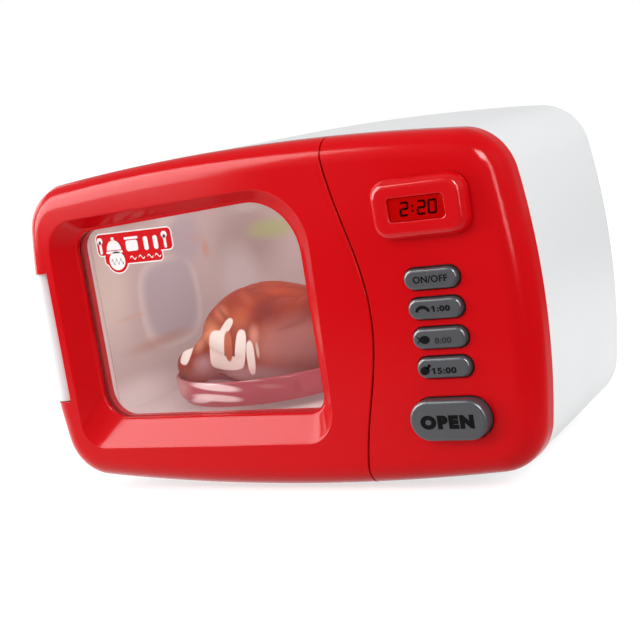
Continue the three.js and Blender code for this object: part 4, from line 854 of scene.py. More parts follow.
# The card's glow is painted light that stands in for the light inside the cooking space.
CARD_PRINT = Finish("soft_picture_print", (188, 168, 164), (172, 154, 154), 0.7, specular=0.1,
                    cloud_share=0.7, cloud_scale=20.0, glow=0.36, spots=spots_of(
    ((206, 190, 182), (-106.0, 28.0, 22.0), (30.0, 28.0, 50.0), 0.85),
    ((150, 126, 122), (-90.0, 136.0, 26.0), (34.0, 30.0, 30.0), 0.75),
    ((206, 198, 196), (-106.0, 92.0, 48.0), (14.0, 22.0, 12.0), 0.6, 0.8),
    ((204, 194, 192), (-106.0, 78.0, 2.0), (14.0, 28.5, 25.5), 0.5, 0.12, 0, 0.7),
    ((158, 146, 154), (-106.0, 79.0, 3.0), (14.0, 26.5, 24.0), 0.8, 0.3, 0, 0.7),
    ((164, 150, 158), (-104.0, 98.0, 32.0), (14.0, 20.0, 20.0), 0.75, 0.6),
    ((192, 182, 184), (-92.0, 126.0, 4.0), (14.0, 16.0, 28.0), 0.6, 0.7),
    ((188, 128, 98), (-103.0, 114.0, 24.0), (9.0, 4.0, 8.0), 0.6, 0.9),
    ((184, 140, 120), (-103.0, 108.0, 31.0), (9.0, 10.0, 4.0), 0.4, 0.9),
    ((160, 168, 110), (-73.0, 136.0, 29.0), (22.0, 12.0, 8.5), 0.75, 0.8),
    ((184, 170, 166), (-86.0, 136.0, 44.0), (16.0, 14.0, 6.0), 0.7, 0.7),
    ((170, 128, 114), (-106.0, 66.0, -17.0), (14.0, 44.0, 5.5), 0.7, 0.9),
    ((194, 150, 128), (-106.0, 44.0, 0.0), (14.0, 22.0, 2.2), 0.35, 0.9),
    ((208, 196, 194), (-106.0, 40.0, -42.0), (20.0, 50.0, 16.0), 1.0, 0.8)))
BOARD_GREEN = Finish("green_circuit_board", (32, 108, 60), (24, 88, 46), 0.42, specular=0.4,
                     cloud_share=0.9, cloud_scale=180.0)
JACKET = Finish("blue_cell_jacket", (50, 82, 148), (38, 64, 124), 0.3, specular=0.4, metallic=0.2)
LAMP_LENS = Finish("frosted_lamp_lens", (250, 244, 226), (242, 232, 208), 0.35, specular=0.3, glow=1.2)


def deliver(piece: Body, finish: Finish, body: str, slot: Slot, *nodes: str) -> None:
    """Dresses a finished piece and lets it ride on its body.

    Args:
        piece: Finished piece.
        finish: Its finish.
        body: Body that carries it.
        slot: Record slot of its finish; not used.
        nodes: CAD nodes that it stands for.
    """
    piece.data.materials.clear()
    piece.data.materials.append(finish.build())
    if nodes:
        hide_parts(*nodes)
    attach(piece, body)
    LOG.info("%s: %d faces on %s", piece.name, len(piece.data.polygons), body)


# Geometry Nodes


class Shape(Group):
    """Geometry Nodes tree with named inputs; it ends in plain mesh with one material."""

    def __init__(self, name: str, inputs: dict[str, Socket]) -> None:
        """Starts a tree that takes a shape, its own inputs and a material."""
        super().__init__(name, "GeometryNodeTree",
                         {"Geometry": Socket.SHAPE, **inputs, "Material": Socket.MATERIAL},
                         {"Geometry": Socket.SHAPE})

    def end(self, shape: Outlet) -> "Shape":
        """Ends the tree: instances made real, then the material set.

        Args:
            shape: Shape that the tree has made.

        Returns:
            The tree.
        """
        real = self.node("GeometryNodeRealizeInstances", {"Geometry": shape})
        dressed = self.node("GeometryNodeSetMaterial",
                            {"Geometry": real.outputs[0], "Material": self.given["Material"]})
        self.close({"Geometry": dressed.outputs[0]})
        return self

    def run(self, body: Body, values: dict[str, object]) -> Body:
        """Runs the tree on a body and turns the result into a plain mesh.

        Args:
            body: Body that the tree starts from.
            values: Value of each named input.

        Returns:
            The body.
        """
        modifier = body.modifiers.new(self.tree.name, "NODES")
        modifier.node_group = self.tree
        for label, value in values.items():
            modifier[self.ids[label]] = value
        return settle(body)


def lathe() -> Shape:
    """Tree that turns a profile about an upright axis.

    Returns:
        The tree.
    """
    shape = Shape("lathe", {"Profile Points": Socket.WHOLE, "Sides": Socket.WHOLE, "Centre": Socket.VECTOR,
                            "Merge Distance": Socket.NUMBER})
    given = shape.given
    count = given["Profile Points"]
    sides = given["Sides"]
    grid = shape.node("GeometryNodeMeshGrid",
                      {"Vertices X": shape.sum_of("ADD", sides, 1.0), "Vertices Y": count})
    index = shape.node("GeometryNodeInputIndex").outputs[0]
    column = shape.sum_of("FLOOR", shape.sum_of("DIVIDE", shape.sum_of("ADD", index, 0.5), count))
    turn = shape.sum_of("DIVIDE", shape.sum_of("MULTIPLY", column, FULL), sides)
    sample = shape.node("GeometryNodeSampleIndex",
                        {"Geometry": given["Geometry"], "Index": shape.sum_of("MODULO", index, count)},
                        data_type="FLOAT_VECTOR", domain="POINT")
    value = next(socket for socket in sample.inputs if socket.name == "Value" and socket.enabled)
    shape.tree.links.new(shape.node("GeometryNodeInputPosition").outputs[0], value)
    split = shape.node("ShaderNodeSeparateXYZ", {0: sample.outputs[0]}).outputs
    across = shape.sum_of("MULTIPLY", split["X"], shape.sum_of("COSINE", turn))
    deep = shape.sum_of("MULTIPLY", split["X"], shape.sum_of("SINE", turn))
    moved = shape.vector_sum("ADD", shape.vector_of(X=across, Y=deep, Z=split["Z"]), given["Centre"])
    turned = shape.node("GeometryNodeSetPosition", {"Geometry": grid.outputs[0], "Position": moved})
    merged = shape.node("GeometryNodeMergeByDistance",
                        {"Geometry": turned.outputs[0], "Distance": given["Merge Distance"]})
    return shape.end(merged.outputs[0])


def screws() -> Shape:
    """Tree that sets a cross-slot screw on each point, its head towards the back.

    Returns:
        The tree.
    """
    number = Socket.NUMBER
    shape = Shape("screws", {"Head Radius": number, "Head Height": number, "Shaft Radius": number,
                             "Shaft Length": number, "Slot Width": number, "Slot Depth": number,
                             "Seed": Socket.WHOLE})
    given = shape.given
    radius = given["Head Radius"]
    height = given["Head Height"]

    def product(first: object, second: object) -> Outlet:
        """Product of two numbers."""
        return shape.sum_of("MULTIPLY", first, second)

    def lowered(form: bpy.types.Node, depth: Outlet) -> Outlet:
        """Upright form whose middle lies at a depth."""
        wires = {"Geometry": form.outputs[0], "Translation": shape.vector_of(Z=product(depth, -1.0))}
        return shape.node("GeometryNodeTransform", wires).outputs[0]

    crown = product(height, 0.4)
    base = shape.sum_of("SUBTRACT", height, crown)
    half_shaft = shape.sum_of("DIVIDE", given["Shaft Length"], 2.0)
    cone = shape.node("GeometryNodeMeshCone", {"Vertices": 32, "Radius Top": product(radius, 0.8),
                                               "Radius Bottom": radius, "Depth": crown})
    disc = shape.node("GeometryNodeMeshCylinder", {"Vertices": 32, "Radius": radius, "Depth": base})
    shaft = shape.node("GeometryNodeMeshCylinder", {"Vertices": 20, "Radius": given["Shaft Radius"],
                                                    "Depth": given["Shaft Length"]})
    forms = [lowered(cone, crown),
             lowered(disc, shape.sum_of("ADD", crown, shape.sum_of("DIVIDE", base, 2.0))),
             lowered(shaft, shape.sum_of("ADD", product(height, 0.9), half_shaft))]
    whole = shape.node("GeometryNodeMeshBoolean", {"Mesh 2": forms}, operation="UNION")
    long = product(radius, 1.25)
    deep = product(given["Slot Depth"], 2.0)
    width = given["Slot Width"]
    bars = [shape.node("GeometryNodeMeshCube", {"Size": shape.vector_of(X=x, Y=y, Z=deep)}).outputs[0]
            for x, y in ((long, width), (width, long))]
    slotted = shape.node("GeometryNodeMeshBoolean", {"Mesh 1": whole.outputs[0], "Mesh 2": bars},
                         operation="DIFFERENCE")
    index = shape.node("GeometryNodeInputIndex").outputs[0]
    highest = 3
    spin = shape.node("FunctionNodeRandomValue", {"ID": index, "Seed": given["Seed"], highest: FULL},
                      data_type="FLOAT")
    upright = shape.node("FunctionNodeEulerToRotation", {0: (-QUARTER, 0.0, 0.0)})
    turn = shape.node("FunctionNodeEulerToRotation", {0: shape.vector_of(Y=spin.outputs[1])})
    both = shape.node("FunctionNodeRotateRotation", {0: upright.outputs[0], 1: turn.outputs[0]})
    placed = shape.node("GeometryNodeInstanceOnPoints",
                        {"Points": given["Geometry"], "Instance": slotted.outputs[0],
                         "Rotation": both.outputs[0]})
    return shape.end(placed.outputs[0])


LATHE = lathe()
SCREWS = screws()


def screw_set(name: str, places: list[Place], shaft: float) -> Body:
    """Screws of one body as one mesh.

    Args:
        name: Name of the piece.
        places: Middle of each head's face.
        shaft: Length of the shafts.

    Returns:
        The piece.
    """
    body = add_mesh(name, [row_place(place) for place in places], [])
    SCREWS.run(body, {"Head Radius": 2.6 * METRE, "Head Height": 1.6 * METRE, "Shaft Radius": 1.3 * METRE,
                      "Shaft Length": shaft * METRE, "Slot Width": 0.8 * METRE, "Slot Depth": 0.8 * METRE,
                      "Seed": 7, "Material": STEEL.build()})
    return polish(body, 30.0)


def turned_body(name: str, profile: Outline, centre: Place, finish: Finish, sides: int) -> Body:
    """Body turned about an upright axis, its faces turned outwards.

    Args:
        name: Name of the piece.
        profile: Radius and height of each point, from the bottom's middle round to the top's.
        centre: Place of the profile's zero.
        finish: Finish of the piece.
        sides: Sides round the axis.

    Returns:
        The piece.
    """
    body = add_mesh(name, [(radius * METRE, 0.0, height * METRE) for radius, height in profile], [])
    LATHE.run(body, {"Profile Points": len(profile), "Sides": sides, "Centre": row_place(centre),
                     "Merge Distance": 0.000005, "Material": finish.build()})
    with opened(body.data) as work:
        if work.calc_volume(signed=True) < 0:
            bmesh.ops.reverse_faces(work, faces=work.faces)
    return polish(body, 32.0)


# Parts


@dataclass(frozen=True)
class CaseShape:
    """Outline and depths that the door, the panel and the white case share."""

    half_width: float = 133.7
    half_height: float = 78.5
    side_radius: float = 340.0
    top_radius: float = 1150.0
    corner_radius: float = 23.7
    bezel_depth: float = 16.3
    bezel_fillet: float = 11.0
    bezel_wall: float = 2.4
    seam_inset: float = 87.9
    seam_bulge: float = 13.5
    seam_gap: float = 0.4
    edge_round: float = 0.5
    fillet_steps: int = 18
    gap: float = 0.3
    running_gap: float = 0.4

    def outline(self, inset: float, half_width: float | None = None,
                half_height: float | None = None) -> Outline:
        """Outline of the case, moved inwards.

        Args:
            inset: Distance inwards.
            half_width: Half of the width, where it isn't the front's.
            half_height: Half of the height, where it isn't the front's.

        Returns:
            The outline's points, anticlockwise from the middle of the right side.
        """
        half_width = half_width or self.half_width
        half_height = half_height or self.half_height
        side_x = half_width - self.side_radius
        top_z = half_height - self.top_radius
        side_reach = self.side_radius - self.corner_radius
        top_reach = self.top_radius - self.corner_radius
        apart = math.hypot(side_x, top_z)
        along = (side_reach ** 2 - top_reach ** 2 + apart ** 2) / (2 * apart)
        across = math.sqrt(side_reach ** 2 - along ** 2)
        corner_x = side_x + along * (-side_x / apart) - across * (top_z / apart)
        corner_z = along * (top_z / apart) + across * (-side_x / apart)
        side_angle = math.atan2(corner_z, corner_x - side_x)
        top_angle = math.atan2(corner_z - top_z, corner_x)
        quarter = arc(side_x, 0.0, self.side_radius - inset, 0.0, side_angle, 14)
        quarter += arc(corner_x, corner_z, self.corner_radius - inset, side_angle, top_angle, 16)[1:]
        quarter += arc(0.0, top_z, self.top_radius - inset, top_angle, QUARTER, 20)[1:]
        left = [(-x, z) for x, z in reversed(quarter[:-1])]
        lower_left = [(-x, -z) for x, z in quarter[1:]]
        lower_right = [(x, -z) for x, z in reversed(quarter[1:-1])]
        return quarter + left + lower_left + lower_right

    def front_body(self, name: str, inset: float, front: float, back: float) -> Body:
        """Closed front body with its rounded edge.

        Args:
            name: Name of the object.
            inset: Distance inwards.
            front: Depth of its front plane.
            back: Depth of its back.

        Returns:
            The object.
        """
        fillet = self.bezel_fillet - inset
        rings = []
        for i in range(self.fillet_steps + 1):
            angle = QUARTER * (1 - i / self.fillet_steps)
            turn_in = inset + fillet * (1 - math.cos(angle))
            rings.append(ring_at(self.outline(turn_in), front + fillet * (1 - math.sin(angle))))
        rings.append(ring_at(self.outline(inset), back))
        return loft(name, rings)

    def seam_side(self, side: Side, offset: float, rounded: bool = False) -> Body:
        """Everything on one side of the curved seam.

        Args:
            side: Side that is kept.
            offset: Distance from the seam's middle.
            rounded: Whether the edge at the front plane is rounded.

        Returns:
            The object.
        """
        turn = side.value
        reach = self.half_height + self.bezel_fillet
        far = turn * (self.half_width + self.bezel_fillet)
        end_x = self.half_width - self.seam_inset
        steps = 140
        rings = []
        radius = self.edge_round if rounded else 0.0
        levels = [(-self.bezel_fillet, radius), (0.0, radius)]
        if rounded:
            levels += [(radius * (1 - math.cos(angle)), radius * (1 - math.sin(angle)))
                       for angle in angles(0.0, QUARTER, 5)[1:]]
        levels.append((self.bezel_depth + self.bezel_fillet, 0.0))
        for y, extra in levels:
            outline = []
            for i in range(steps + 1):
                z = reach * (2 * i / steps - 1)
                swell = math.cos(math.pi * min(1.0, abs(z) / self.half_height))
                x = end_x + self.seam_bulge * (1 + swell) / 2 + turn * (offset + extra)
                outline.append((x, z))
            outline += [(far, reach), (far, -reach)]
            rings.append(ring_at(outline, y))
        return loft("seam_side", rings)

    def front_half(self, name: str, side: Side) -> tuple[Body, Body]:
        """One half of the red front, and the room inside its wall.

        Args:
            name: Name of the half.
            side: Its side of the seam.

        Returns:
            The closed half and the room.
        """
        half = combine(self.front_body(name, 0.0, 0.0, self.bezel_depth), Joining.SHARE,
                       self.seam_side(side, self.seam_gap, rounded=True))
        room = combine(self.front_body("room", self.bezel_wall, self.bezel_wall, self.bezel_depth + 1),
                       Joining.SHARE, self.seam_side(side, self.seam_gap + self.bezel_wall))
        return half, room


CASE = CaseShape()


@dataclass(frozen=True)
class HingePlace:
    """Where the door's hinge is, and the notch round it."""

    x: float = -126.0
    y: float = 9.2
    notch_top: float = 32.0
    notch_bottom: float = -33.5
    notch_reach: float = 7.4
    edge_radius: float = 7.2
    boss_radius: float = 4.4
    pin_reach: float = 15.0
    pin_radius: float = 1.5

    def upright(self, name: str, radius: float, reach: float) -> Body:
        """Round bar on the hinge's axis that reaches past both ends of the notch."""
        return bar(name, "Z", radius, (self.x, self.y), (self.notch_bottom - reach, self.notch_top + reach))

    def notch(self, margin: float) -> Body:
        """Room that the white block needs in the door, grown by a margin."""
        return block("notch", (-CASE.half_width - 1, self.x + self.notch_reach + margin),
                     (-1.0, CASE.bezel_depth + 1), (self.notch_bottom - margin, self.notch_top + margin))


HINGE = HingePlace()


@dataclass(frozen=True)
class WindowShape:
    """The window and the bevelled recess round it."""

    left: float = -103.0
    right: float = 24.5
    bottom: float = -44.0
    top_at_left: float = 49.2
    top_at_right: float = 55.0
    radii: tuple[float, ...] = (25.0, 10.0, 13.0, 8.0)
    recess_left: float = 11.3
    recess_top_left: float = 7.0
    recess_top_right: float = 5.8
    recess_right: float = 10.4
    recess_bottom_right: float = 7.0
    recess_bottom: float = 13.0
    recess_radii: tuple[float, ...] = (28.0, 17.0, 12.0, 16.0)
    recess_depth: float = 7.5
    land: float = 1.2
    lip: float = 2.0
    pane_overlap: float = 3.0
    pane_seat: float = 5.0
    pane_thickness: float = 2.0

    @property
    def pane_front(self) -> float:
        """Depth of the pane's front face."""
        return self.recess_depth + self.lip + CASE.gap

    def outline(self, margin: float) -> Outline:
        """The window's outline, moved outwards."""
        left, right, bottom = self.left - margin, self.right + margin, self.bottom - margin
        places = [(right, self.top_at_right + margin), (left, self.top_at_left + margin),
                  (left, bottom), (right, bottom)]
        return rounded_outline([(x, z, radius + margin) for (x, z), radius in zip(places, self.radii)])

    def recess(self, margin: float) -> Outline:
        """The recess's outer edge on the front plane, moved outwards.

        Args:
            margin: Distance outwards.

        Returns:
            The outline's points.
        """
        left = self.left - self.recess_left - margin
        bottom = self.bottom - self.recess_bottom - margin
        right = self.right + margin
        places = [(right + self.recess_right, self.top_at_right + self.recess_top_right + margin),
                  (left, self.top_at_left + self.recess_top_left + margin), (left, bottom),
                  (right + self.recess_bottom_right, bottom)]
        return rounded_outline([(x, z, radius + margin) for (x, z), radius in zip(places, self.recess_radii)])

    def ring(self, margin: float, y: float) -> Ring:
        """The window's outline at a depth, moved outwards."""
        return ring_at(self.outline(margin), y)

    def cutter(self) -> Body:
        """Room of the recess and the window, its edges rounded.

        Returns:
            The cutter.
        """
        round_share = 0.09
        small = 0.4
        steps = 3
        outer = ring_at(self.recess(0.0), 0.0)
        land = self.ring(self.land, self.recess_depth)
        rings = [ring_at(self.recess(CASE.edge_round), -CASE.bezel_fillet)]
        rings += rounded_step(ring_at(self.recess(CASE.edge_round), 0.0), outer,
                              between(outer, land, round_share))
        rings += rounded_step(between(outer, land, 1 - round_share), land,
                              self.ring(self.land - small, self.recess_depth), steps)
        rings += rounded_step(self.ring(small, self.recess_depth), self.ring(0.0, self.recess_depth),
                              self.ring(0.0, self.recess_depth + small), steps)
        rings.append(self.ring(0.0, CASE.bezel_depth + 1))
        return loft("recess_cutter", rings)


WINDOW = WindowShape()


@dataclass
class Door:
    """Red door with its window, back panel and screws."""

    inner_thickness: float = 2.2
    screw_columns: tuple[float, float] = (-100.0, 20.0)
    screw_wall_room: float = 7.2
    boss_radius: float = 3.2
    tongue_x: float = 42.0
    tongue_thickness: float = 2.5
    tongue_half_height: float = 5.0
    tongue_back: float = 24.7
    open_z: float = -46.5
    catch_deep: Flat = (19.1, 22.3)
    catch_half_height: float = 3.6
    screw_seat: float = 1.9
    screw_shaft: float = 5.9

    @property
    def inner_back(self) -> float:
        """Depth of the back panel's back face."""
        return CASE.bezel_depth - CASE.gap

    def screw_places(self) -> Outline:
        """Places of the door's screws."""
        places = []
        for x in self.screw_columns:
            row = CASE.half_height - x ** 2 / (2 * CASE.top_radius) - self.screw_wall_room
            places += [(x, -row), (x, row)]
        return places

    def build(self) -> None:
        """Builds and dresses the door's pieces."""
        self.build_frame()
        self.build_pane()
        Sticker().build()
        self.build_inner_panel()
        heads = screw_set("door_screws", [(x, self.inner_back, z) for x, z in self.screw_places()],
                          self.screw_shaft)
        deliver(heads, STEEL, "door", Slot.STEEL, *(f"door_screw_{i}" for i in range(1, 5)))

    def build_frame(self) -> None:
        """Builds the red frame: a shell with the recess, the notch and its bosses."""
        front_of_panel = self.inner_back - self.inner_thickness
        shell, hollow = CASE.front_half("door_frame_shell", Side.DOOR)
        mouth = WINDOW.recess(CASE.bezel_wall)
        funnel = loft("funnel", [ring_at(mouth, -1.0), ring_at(mouth, CASE.bezel_wall),
                                 WINDOW.ring(WINDOW.pane_seat, WINDOW.recess_depth + WINDOW.lip)])
        bosses = [bar("boss", "Y", self.boss_radius, place, (0.0, front_of_panel - CASE.gap))
                  for place in self.screw_places()]
        hinge_boss = HINGE.upright("hinge_boss", HINGE.boss_radius, HINGE.pin_reach + CASE.bezel_wall)
        combine(hollow, Joining.CUT, funnel, HINGE.notch(CASE.bezel_wall), hinge_boss, *bosses)
        full_height = span(0.0, CASE.half_height)
        back_edge = block("back_edge", (-CASE.half_width - 1, HINGE.x), (HINGE.y, CASE.bezel_depth + 1),
                          full_height)
        combine(back_edge, Joining.CUT,
                bar("round", "Z", HINGE.edge_radius, (HINGE.x, HINGE.y), full_height, 96))
        pin_bore = HINGE.upright("pin_bore", HINGE.pin_radius + CASE.gap, HINGE.pin_reach + CASE.gap)
        combine(shell, Joining.CUT, hollow, WINDOW.cutter(), HINGE.notch(0.0), back_edge, pin_bore)
        deliver(polish(shell), RED_PLASTIC, "door", Slot.RED, "door_frame")

    def build_pane(self) -> None:
        """Builds the tinted clear pane."""
        front = WINDOW.pane_front
        pane = prism("door_window_pane", WINDOW.outline(WINDOW.pane_overlap), front,
                     front + WINDOW.pane_thickness)
        bevel = pane.modifiers.new("round_edges", "BEVEL")
        bevel.width = 0.2 * METRE
        bevel.segments = 2
        bevel.limit_method = "ANGLE"
        bevel.angle_limit = math.radians(40.0)
        bevel.miter_outer = "MITER_ARC"
        deliver(polish(settle(pane)), WINDOW_PLASTIC, "door", Slot.CLEAR, "window_pane")

    def build_inner_panel(self) -> None:
        """Builds the door's back panel with its latch tongue."""
        clear = CASE.bezel_wall + CASE.gap
        front = self.inner_back - self.inner_thickness
        middle = front + self.inner_thickness / 2
        behind = CASE.bezel_depth + 1
        panel = combine(CASE.front_body("door_back_panel", clear, front - CASE.bezel_fillet, behind),
                        Joining.SHARE, CASE.seam_side(Side.DOOR, CASE.seam_gap + clear),
                        block("sheet", (HINGE.x + HINGE.boss_radius + CASE.running_gap, CASE.half_width),
                              (front, self.inner_back), span(0.0, CASE.half_height)))
        pane_back = WINDOW.pane_front + WINDOW.pane_thickness
        ring = prism("ring", WINDOW.outline(WINDOW.pane_overlap), pane_back + CASE.gap, middle)
        tongue_end = self.tongue_x + self.tongue_thickness
        tongue = block("tongue", (self.tongue_x, tongue_end), (middle, self.tongue_back),
                       span(self.open_z, self.tongue_half_height))
        combine(panel, Joining.ADD, ring, tongue)
        catch = block("catch", (self.tongue_x - 1, tongue_end + 1), self.catch_deep,
                      span(self.open_z, self.catch_half_height))
        wells = []
        for place in self.screw_places():
            wells.append(bar("shaft", "Y", 1.6, place, (front - 1, CASE.bezel_depth)))
            wells.append(bar("head", "Y", 2.9, place, (self.inner_back - self.screw_seat, behind)))
        rounded = CASE.edge_round
        opening = loft("opening", [
            WINDOW.ring(0.0, 0.0), WINDOW.ring(0.0, self.inner_back - rounded),
            WINDOW.ring(rounded, self.inner_back), WINDOW.ring(rounded, behind)])
        combine(panel, Joining.CUT, catch, opening, HINGE.notch(clear), *wells)
        deliver(polish(panel), RED_PLASTIC, "door", Slot.RED, "door_inner_panel")


@dataclass
class Sticker:
    """Sticker on the pane: a red banner with a white edge and kitchen pictures.

    The banner and the bars are listed as middle across, middle height, width, height and corner radius.
    """

    banner: tuple[tuple[float, ...], ...] = (
        (-69.0, 41.8, 46.4, 11.4, 2.8), (-70.6, 34.6, 36.0, 6.6, 2.6), (-80.6, 34.0, 13.6, 13.6, 6.7))
    edge: float = 0.6
    slim_bars: tuple[tuple[float, ...], ...] = (
        (-89.6, 40.6, 1.5, 6.4, 0.7), (-50.4, 40.6, 1.5, 6.4, 0.7), (-81.6, 37.9, 10.0, 1.2, 0.5),
        (-70.4, 43.9, 8.4, 1.2, 0.5))
    wide_bars: tuple[tuple[float, ...], ...] = (
        (-89.6, 43.8, 3.4, 3.2, 1.5), (-50.4, 43.8, 3.4, 3.2, 1.5), (-81.6, 44.3, 1.8, 1.8, 0.8),
        (-70.4, 40.2, 7.2, 5.2, 1.2), (-61.8, 40.6, 2.6, 6.6, 1.1), (-56.0, 40.6, 2.6, 6.6, 1.1))
    slim_steps: int = 5
    wide_steps: int = 6
    ripples: tuple[float, ...] = (-72.6, -67.4, -62.2, -57.6)
    curls: tuple[float, ...] = (-84.2, -81.6, -79.0)

    def banner_at(self, inset: float, front: float, back: float) -> Body:
        """Banner with two lobes under it.

        Args:
            inset: Distance inwards.
            front: Depth of its front face.
            back: Depth of its back face.

        Returns:
            The body.
        """
        outlines = [rectangle(x, z, width - 2 * inset, height - 2 * inset, radius - inset)
                    for x, z, width, height, radius in self.banner]
        first, *others = plates(outlines, front, back)
        return polish(combine(first, Joining.ADD, *others))

    def build(self) -> None:
        """Builds the banner in two layers, then the pictures and the curls of steam."""
        step = PRINT_DEPTH / 2
        pane = WINDOW.pane_front
        border = self.banner_at(0.0, pane - 2 * step, pane + step)
        border.name = "door_sticker_edge"
        deliver(border, WHITE_PRINT, "door", Slot.CARD)
        banner = self.banner_at(self.edge, pane - 3 * step, pane + step)
        banner.name = "door_sticker_field"
        deliver(banner, RED_PRINT, "door", Slot.CARD)
        pictures = [rectangle(*row, self.slim_steps) for row in self.slim_bars]
        pictures += [rectangle(*row, self.wide_steps) for row in self.wide_bars]
        pictures.append(oval(-81.6, 38.9, 4.4, 4.8, 0.0, math.pi, 20))
        pictures.append(oval(-80.8, 33.6, 4.8, 4.6, 0.0, FULL, 32)[:-1])
        pictures += [wave(x, 34.6, 3.6, 0.8, 0.6) for x in self.ripples]
        prints = join_loose("door_sticker_pictures", plates(pictures, pane - 4 * step, pane + step))
        deliver(prints, WHITE_PRINT, "door", Slot.CARD)
        curls = [wave(x, 33.4, 2.0, 1.3, 0.5) for x in self.curls]
        steam = join_loose("door_sticker_steam", plates(curls, pane - 5 * step, pane))
        deliver(steam, SOFT_PRINT, "door", Slot.CARD)


@dataclass
class ControlPanel:
    """Red panel right of the seam, with the holes for its buttons and display."""

    middle_x: float = 91.5
    button_rows: tuple[float, ...] = (13.76, 1.05, -11.66, -24.37)
    button_width: float = 25.7
    button_height: float = 9.2
    open_z: float = -46.5
    open_width: float = 36.4
    open_height: float = 17.7
    display_z: float = 44.0
    neck_width: float = 36.0
    neck_height: float = 17.0
    neck_radius: float = 3.5
    boss_places: tuple[Flat, ...] = ((61.0, 66.0), (61.0, -66.0), (122.0, 0.0))
    boss_radius: float = 3.4

    def hole(self, z: float, width: float, height: float) -> Body:
        """Cutter for one button's hole: room for the button to move, and a rounded edge at the front.

        Args:
            z: Middle height.
            width: Width of the button.
            height: Height of the button.

        Returns:
            The cutter.
        """
        room = 2 * CASE.running_gap
        plain, wide = (stadium(self.middle_x, z, width + room + 2 * margin, height + room + 2 * margin)
                       for margin in (0.0, CASE.edge_round))
        edge = rounded_step(ring_at(wide, 0.0), ring_at(plain, 0.0), ring_at(plain, CASE.edge_round))
        return loft("hole", [ring_at(wide, -CASE.bezel_fillet), *edge, ring_at(plain, CASE.bezel_wall + 1)])

    def build(self) -> None:
        """Builds and dresses the panel's shell."""
        shell, hollow = CASE.front_half("control_panel_shell", Side.PANEL)
        bosses = [bar("boss", "Y", self.boss_radius, place, (CASE.bezel_wall - CASE.gap, CASE.bezel_depth))
                  for place in self.boss_places]
        combine(hollow, Joining.CUT, *bosses)
        holes = [self.hole(z, self.button_width, self.button_height) for z in self.button_rows]
        holes.append(self.hole(self.open_z, self.open_width, self.open_height))
        grown = 2 * CASE.gap
        neck = rectangle(self.middle_x, self.display_z, self.neck_width + grown, self.neck_height + grown,
                         self.neck_radius + CASE.gap)
        holes.append(prism("neck", neck, -1.0, CASE.bezel_wall + 1))
        combine(shell, Joining.CUT, hollow, *holes)
        deliver(polish(shell), RED_PLASTIC, "case", Slot.RED, "control_panel")


